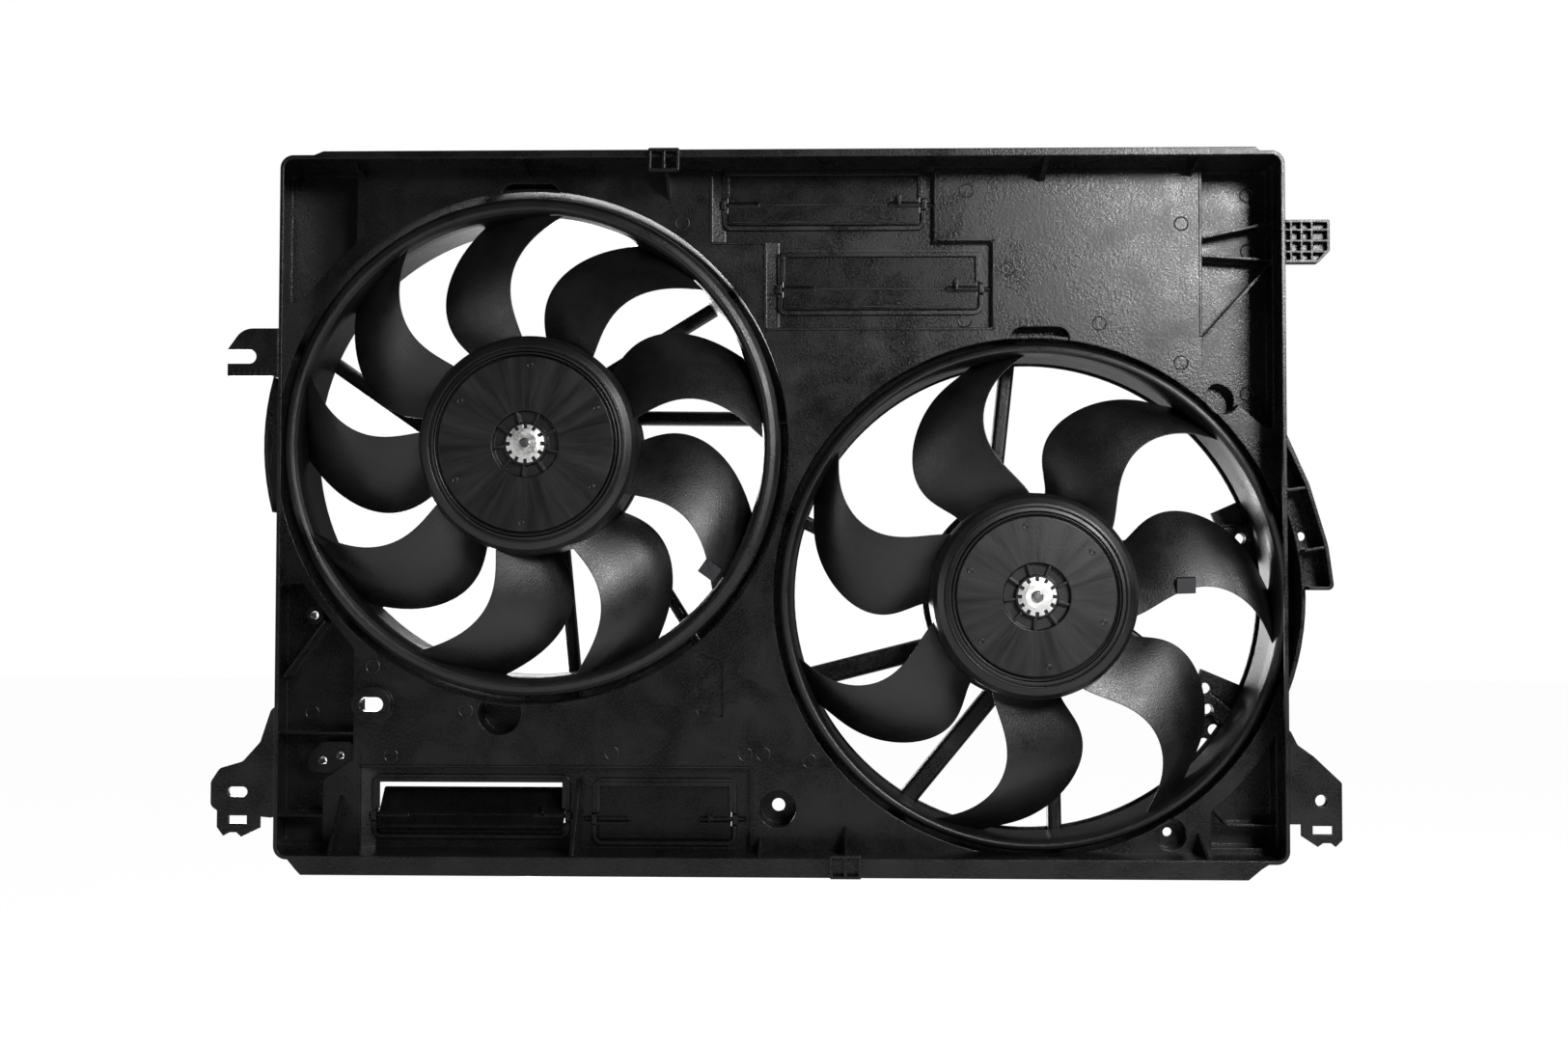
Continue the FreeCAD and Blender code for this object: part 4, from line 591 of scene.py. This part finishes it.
def dull_solid(name, colour, rough):
    """Sintered, pressed or wound material without gloss, clouded and slightly uneven."""
    cloud_scale, unevenness = 300.0, 0.05 * MM
    material, tree, surface = shader(name)
    place = object_coordinates(tree)
    cloud = noise(tree, place, cloud_scale, detail=4.0, roughness=0.6)
    tree.links.new(tint(tree, cloud, colour, low=0.8, high=1.15), surface.inputs["Base Color"])
    tree.links.new(bump(tree, cloud, unevenness, strength=0.4), surface.inputs["Normal"])
    surface.inputs["Roughness"].default_value = rough
    return material


def camera_rays(tree, share):
    """The share where a ray comes straight from the camera, and nothing elsewhere."""
    path = tree.nodes.new("ShaderNodeLightPath")
    return arithmetic(tree, "MULTIPLY", path.outputs["Is Camera Ray"], share)


def dress(material, *nodes):
    """Puts a material on every slot of the named solids."""
    for node in nodes:
        for slot in NODES[node].material_slots:
            slot.material = material


def both(*names):
    """Names of the pieces on the left fan, then on the right fan."""
    return [side + "_" + name for side in HUBS for name in names]


# ---- operators ----------------------------------------------------------------------------------
class SHROUD_OT_mouldings(bpy.types.Operator):
    """Give the shroud, the flaps and the clips their moulded plastic"""
    bl_idname = "shroud.mouldings"
    bl_label = "Dress the mouldings"

    def execute(self, context):
        finish = context.scene.shroud_finish
        tray = moulded_plastic("shroud_plastic", finish.shroud_colour, rough=(0.20, 0.42),
                               grain=520.0, specular=0.45)
        dress(tray, "perimeter_wall", "shroud_panel", "lower_left_bracket", "lower_right_bracket",
              "upper_left_bracket", "upper_right_bracket", "side_ear", "top_clip", "bottom_clip",
              *both("fan_barrel", "motor_mount"))
        moulded_plastic("trim_plastic", finish.shroud_colour, rough=(0.24, 0.44),
                        grain=520.0, specular=0.5, soft=False)
        flaps = moulded_plastic("flap_plastic", finish.flap_colour, rough=(0.22, 0.38),
                                grain=700.0, specular=0.3, blotch=40.0)
        dress(flaps, *[name + "_flap" for name in FLAP_NAMES])
        socket = moulded_plastic("connector_plastic", finish.flap_colour, rough=(0.25, 0.35),
                                 grain=900.0, specular=0.5)
        dress(socket, *both("motor_connector"))
        return {"FINISHED"}


class SHROUD_OT_fans(bpy.types.Operator):
    """Give the fan wheels their plastic with its flow marks"""
    bl_idname = "shroud.fans"
    bl_label = "Dress the fan wheels"

    def execute(self, context):
        finish = context.scene.shroud_finish
        for side, hub in HUBS.items():
            streaked = hub_plastic(side + "_hub_plastic", finish.fan_colour, FAN_CENTRES[side],
                                   hub.disc * MM)
            dress(streaked, side + "_fan_hub")
        wheel = moulded_plastic("fan_plastic", finish.fan_colour, rough=(0.30, 0.44),
                                grain=700.0, specular=0.5, blotch=34.0)
        dress(wheel, *both("fan_band", "fan_blades"))
        return {"FINISHED"}


class SHROUD_OT_metals(bpy.types.Operator):
    """Give the motors' pieces, nuts, clips and screws their metal"""
    bl_idname = "shroud.metals"
    bl_label = "Dress the metal"

    def execute(self, context):
        zinc = plated_metal("zinc", context.scene.shroud_finish.zinc_colour, rough=0.42,
                            scale=420.0)
        dress(zinc, *both("push_nut", "motor_screws"))
        for name, colour, rough, scale, pieces in METALS:
            dress(plated_metal(name, colour, rough, scale), *both(*pieces))
        for name, colour, rough, piece in DULL_SOLIDS:
            dress(dull_solid(name, colour, rough), *both(piece))
        return {"FINISHED"}


class SHROUD_OT_marks(bpy.types.Operator):
    """Add the round marks of the mould's ejector pins on the panel and the hubs"""
    bl_idname = "shroud.marks"
    bl_label = "Add ejector marks"

    def execute(self, context):
        detail = context.scene.shroud_detail
        plastic = bpy.data.materials["trim_plastic"]
        self.panel_marks(detail, plastic)
        for side, hub in HUBS.items():
            self.hub_pips(detail, side, hub, plastic)
        return {"FINISHED"}

    def panel_marks(self, detail, plastic):
        """Thin raised rings, at the depth of the floor that each stands on.

        A ring's section has its feet as deep in the floor as its crest is high above it."""
        outer, height, line = detail.mark_radius, detail.mark_height, detail.mark_line
        centres = [(RIM_CENTRE.x + x * MM, depth * MM, RIM_CENTRE.z + z * MM)
                   for depth, spots in PIN_MARKS.items() for x, z in spots]
        ring = [(outer - line * share, side * height) for share, side in RING_PROFILE]
        points, faces = turned_surface(ring, centres, detail.round_steps)
        new_piece("panel_ejector_marks", points, faces, plastic, "shroud", "shroud_plastic")

    def hub_pips(self, detail, side, hub, plastic):
        """Shallow pips in a circle on the hub's disc, evenly spaced from the first one."""
        angle = np.radians(hub.first_pip) + np.arange(PIP_COUNT) * 2 * pi / PIP_COUNT
        centre = np.array(FAN_CENTRES[side])
        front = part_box(side + "_fan_hub")[0].y
        out = hub.pips * MM
        places = np.stack([centre[0] + out * np.cos(angle), np.full(PIP_COUNT, front + PIP_DEPTH),
                           centre[2] + out * np.sin(angle)], axis=-1)
        profile = [(share * detail.pip_radius, depth * MM) for share, depth in PIP_PROFILE]
        points, faces = turned_surface(profile, places, detail.round_steps)
        new_piece(side + "_hub_pips", points, faces, plastic, side + "_fan", "fan_plastic")


class SHROUD_OT_ridges(bpy.types.Operator):
    """Add the raised lines of the panel, the beads of the hubs and the fork's short ribs"""
    bl_idname = "shroud.ridges"
    bl_label = "Add moulded ridges"

    def execute(self, context):
        detail = context.scene.shroud_detail
        plastic = bpy.data.materials["trim_plastic"]
        lines = [ridge_at(*ends, PANEL_DEPTH, *BOX_SECTION) for ends in BOX_LINES]
        lines += [ridge_at(*ends, PANEL_DEPTH, *PANEL_SECTION) for ends in PANEL_LINES]
        new_piece("panel_ridges", *merged(lines), plastic, "shroud", "shroud_plastic", False)
        for side, hub in HUBS.items():
            self.hub_beads(detail, side, hub, plastic)
        self.fork_ladder(plastic)
        return {"FINISHED"}

    def hub_beads(self, detail, side, hub, plastic):
        """Two thin beads round the hub's disc, at the edges of its groove."""
        centre = np.array(FAN_CENTRES[side])
        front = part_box(side + "_fan_hub")[0].y
        beads = []
        for radius in hub.beads:
            profile = [(radius * MM + out * MM, depth * MM) for out, depth in BEAD_PROFILE]
            beads.append(turned_surface(profile, (centre[0], front, centre[2]),
                                        2 * detail.round_steps))
        new_piece(side + "_hub_beads", *merged(beads), plastic, side + "_fan", "fan_plastic")

    def fork_ladder(self, plastic):
        """Short ribs across the lower arm of the upper left fork, evenly spaced."""
        first, last, count = 0.12, 0.78, 7        # shares of the arm's length
        foot, top = 1.2 * MM, 6.6 * MM            # heights on the arm
        low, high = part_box("upper_left_bracket")
        front = low.y + SINK
        places = low.x + np.linspace(first, last, count) * (high.x - low.x)
        ribs = [straight_ridge((x, front, low.z + foot), (x, front, low.z + top), *FORK_SECTION)
                for x in places]
        new_piece("fork_ladder_ribs", *merged(ribs), plastic, "shroud", "shroud_plastic", False)


class SHROUD_OT_flap_frames(bpy.types.Operator):
    """Add the raised frames round the flap openings, and the creases and lips of the flaps"""
    bl_idname = "shroud.flap_frames"
    bl_label = "Add flap frames"

    def execute(self, context):
        detail = context.scene.shroud_detail
        plastic = bpy.data.materials["trim_plastic"]
        clear = detail.pin_clearance
        bars = []
        for name in FLAP_NAMES:
            opening = FlapPlace(name)
            halves = ((opening.hinge - clear, opening.bottom), (opening.hinge + clear, opening.top))
            for end, far in halves:
                bars.append(u_ridge(opening.left, opening.right, end, far, opening.floor, detail))
            bars.append(self.sill(opening, detail))
            self.crease(name, opening, detail, plastic)
        new_piece("flap_opening_frames", *merged(bars), plastic, "shroud", "shroud_plastic", False)
        return {"FINISHED"}

    def sill(self, opening, detail):
        """Bar behind the flap's lower edge, which closes the opening below it.

        Its section is a wedge with a bevelled front edge, carried straight along the opening."""
        overlap, bevel, foot = 0.6 * MM, 1.0 * MM, 2.4 * MM
        beyond = 0.5 * MM                         # reach past each end of the opening
        front = opening.depth + opening.half_wall + opening.gap
        low, high = opening.bottom - overlap, opening.bottom + detail.sill_height
        section = ((front, low), (front, high - bevel), (front + bevel, high), (front + foot, low))
        ends = (opening.left - beyond, opening.right + beyond)
        return swept(np.array([[(x, y, z) for y, z in section] for x in ends]))

    def crease(self, name, opening, detail, plastic):
        """Raised line along the hinge between the pins, and a lip along the flap's lower edge."""
        lip_inset, lip_height = 3.0 * MM, 2.4 * MM
        front = opening.front + SINK
        lines = []
        for inset, height, section in (
                (detail.crease_inset, opening.hinge, CREASE_SECTION),
                (lip_inset, opening.bottom + lip_height, LIP_SECTION)):
            lines.append(straight_ridge((opening.left + inset, front, height),
                                        (opening.right - inset, front, height), *section))
        points, faces = merged(lines)
        new_piece(name + "_flap_creases", opening.at_rest(points), faces, plastic,
                  name + "_flap", "flap_plastic", False)


class SHROUD_OT_stage(bpy.types.Operator):
    """Set up the floor, the soft studio light and the camera"""
    bl_idname = "shroud.stage"
    bl_label = "Set up the studio"

    def execute(self, context):
        studio = context.scene.shroud_studio
        low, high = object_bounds()
        middle = (low + high) / 2
        self.floor(studio, middle, low.z - studio.floor_drop)
        self.world(context, studio)
        for name, (place, size) in LAMPS.items():
            power = getattr(studio, name + "_power")
            self.lamp(name + "_lamp", LAMP_AIM + Vector(place), size, power)
        self.camera(context, studio)
        context.scene.view_settings.view_transform = "Standard"
        return {"FINISHED"}

    def floor(self, studio, middle, level):
        """Wide pale square, which looks nearly white to the camera."""
        corner = np.array([[-1, -1, 0], [1, -1, 0], [1, 1, 0], [-1, 1, 0]], float) * FLOOR_REACH
        points = corner + np.array([middle.x, middle.y, level])
        mesh = bpy.data.meshes.new("floor")
        mesh.from_pydata(points.tolist(), [], [(0, 1, 2, 3)])
        floor = bpy.data.objects.new("floor", mesh)
        bpy.context.scene.collection.objects.link(floor)
        floor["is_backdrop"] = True
        material, tree, surface = shader("pale_floor")
        surface.inputs["Base Color"].default_value = (0.9, 0.9, 0.9, 1.0)
        surface.inputs["Roughness"].default_value = 0.9
        glow = tree.nodes.new("ShaderNodeEmission")
        glow.inputs["Strength"].default_value = studio.floor_glow
        self.mix(tree, camera_rays(tree, studio.floor_share), surface, glow, "Material Output")
        mesh.materials.append(material)

    def world(self, context, studio):
        """Room that lights the object faintly and looks plain white to the camera."""
        world = bpy.data.worlds.new("plain_room")
        context.scene.world = world
        world.use_nodes = True
        tree = world.node_tree
        room, white = tree.nodes["Background"], tree.nodes.new("ShaderNodeBackground")
        for background, strength in ((room, studio.room_strength), (white, 1.0)):
            background.inputs["Color"].default_value = (1.0, 1.0, 1.0, 1.0)
            background.inputs["Strength"].default_value = strength
        self.mix(tree, camera_rays(tree, 1.0), room, white, "World Output")

    def mix(self, tree, share, plain, seen, output):
        """Sends the output the plain shader, and the seen one by its share."""
        node = tree.nodes.new("ShaderNodeMixShader")
        for socket, source in zip(node.inputs, (share, plain.outputs[0], seen.outputs[0])):
            tree.links.new(source, socket)
        tree.links.new(node.outputs[0], tree.nodes[output].inputs["Surface"])

    def lamp(self, name, place, size, power):
        """Soft rectangular lamp that faces the lamps' common aim."""
        data = bpy.data.lights.new(name, "AREA")
        data.shape = "RECTANGLE"
        data.size, data.size_y = size
        data.energy = power
        lamp = bpy.data.objects.new(name, data)
        lamp.location = place
        lamp.rotation_euler = (LAMP_AIM - place).to_track_quat("-Z", "Y").to_euler()
        bpy.context.scene.collection.objects.link(lamp)

    def camera(self, context, studio):
        """Camera that looks at its aim along (-sin a cos e, cos a cos e, -sin e).

        Here a is its azimuth and e its elevation; the roll then turns it about that line."""
        turn, rise = studio.azimuth, studio.elevation
        forward = Vector((-sin(turn) * cos(rise), cos(turn) * cos(rise), -sin(rise)))
        right = Vector((cos(turn), sin(turn), 0.0))
        up = right.cross(forward)
        data = bpy.data.cameras.new("camera")
        data.sensor_width = SENSOR_WIDTH
        data.lens = studio.lens
        camera = bpy.data.objects.new("camera", data)
        axes = Matrix((right, up, -forward)).transposed() @ Matrix.Rotation(studio.roll, 3, "Z")
        place = CAMERA_AIM - forward * studio.distance
        camera.matrix_world = Matrix.Translation(place) @ axes.to_4x4()
        context.scene.collection.objects.link(camera)
        context.scene.camera = camera


class SHROUD_PT_panel(bpy.types.Panel):
    """Sizes, colours and steps of the fan shroud"""
    bl_idname = "SHROUD_PT_panel"
    bl_label = "Fan shroud"
    bl_space_type = "VIEW_3D"
    bl_region_type = "UI"
    bl_category = "Fan shroud"

    def draw(self, context):
        scene = context.scene
        for group in GROUPS:
            properties = getattr(scene, group)
            column = self.layout.column()
            for name in properties.bl_rna.properties.keys():
                if name not in ("rna_type", "name"):
                    column.prop(properties, name)
        for step in STEPS:
            self.layout.operator(step.bl_idname)


GROUPS = {"shroud_finish": ShroudFinish, "shroud_detail": ShroudDetail,
          "shroud_studio": ShroudStudio}
STEPS = (SHROUD_OT_mouldings, SHROUD_OT_fans, SHROUD_OT_metals, SHROUD_OT_marks, SHROUD_OT_ridges,
         SHROUD_OT_flap_frames, SHROUD_OT_stage)


def register():
    for name, group in GROUPS.items():
        bpy.utils.register_class(group)
        setattr(bpy.types.Scene, name, PointerProperty(type=group))
    for step in (*STEPS, SHROUD_PT_panel):
        bpy.utils.register_class(step)


def unregister():
    for step in reversed((*STEPS, SHROUD_PT_panel)):
        bpy.utils.unregister_class(step)
    for name, group in GROUPS.items():
        delattr(bpy.types.Scene, name)
        bpy.utils.unregister_class(group)


def main():
    register()
    for step in STEPS:
        family, name = step.bl_idname.split(".")
        getattr(getattr(bpy.ops, family), name)()


if __name__ == "__main__":
    main()
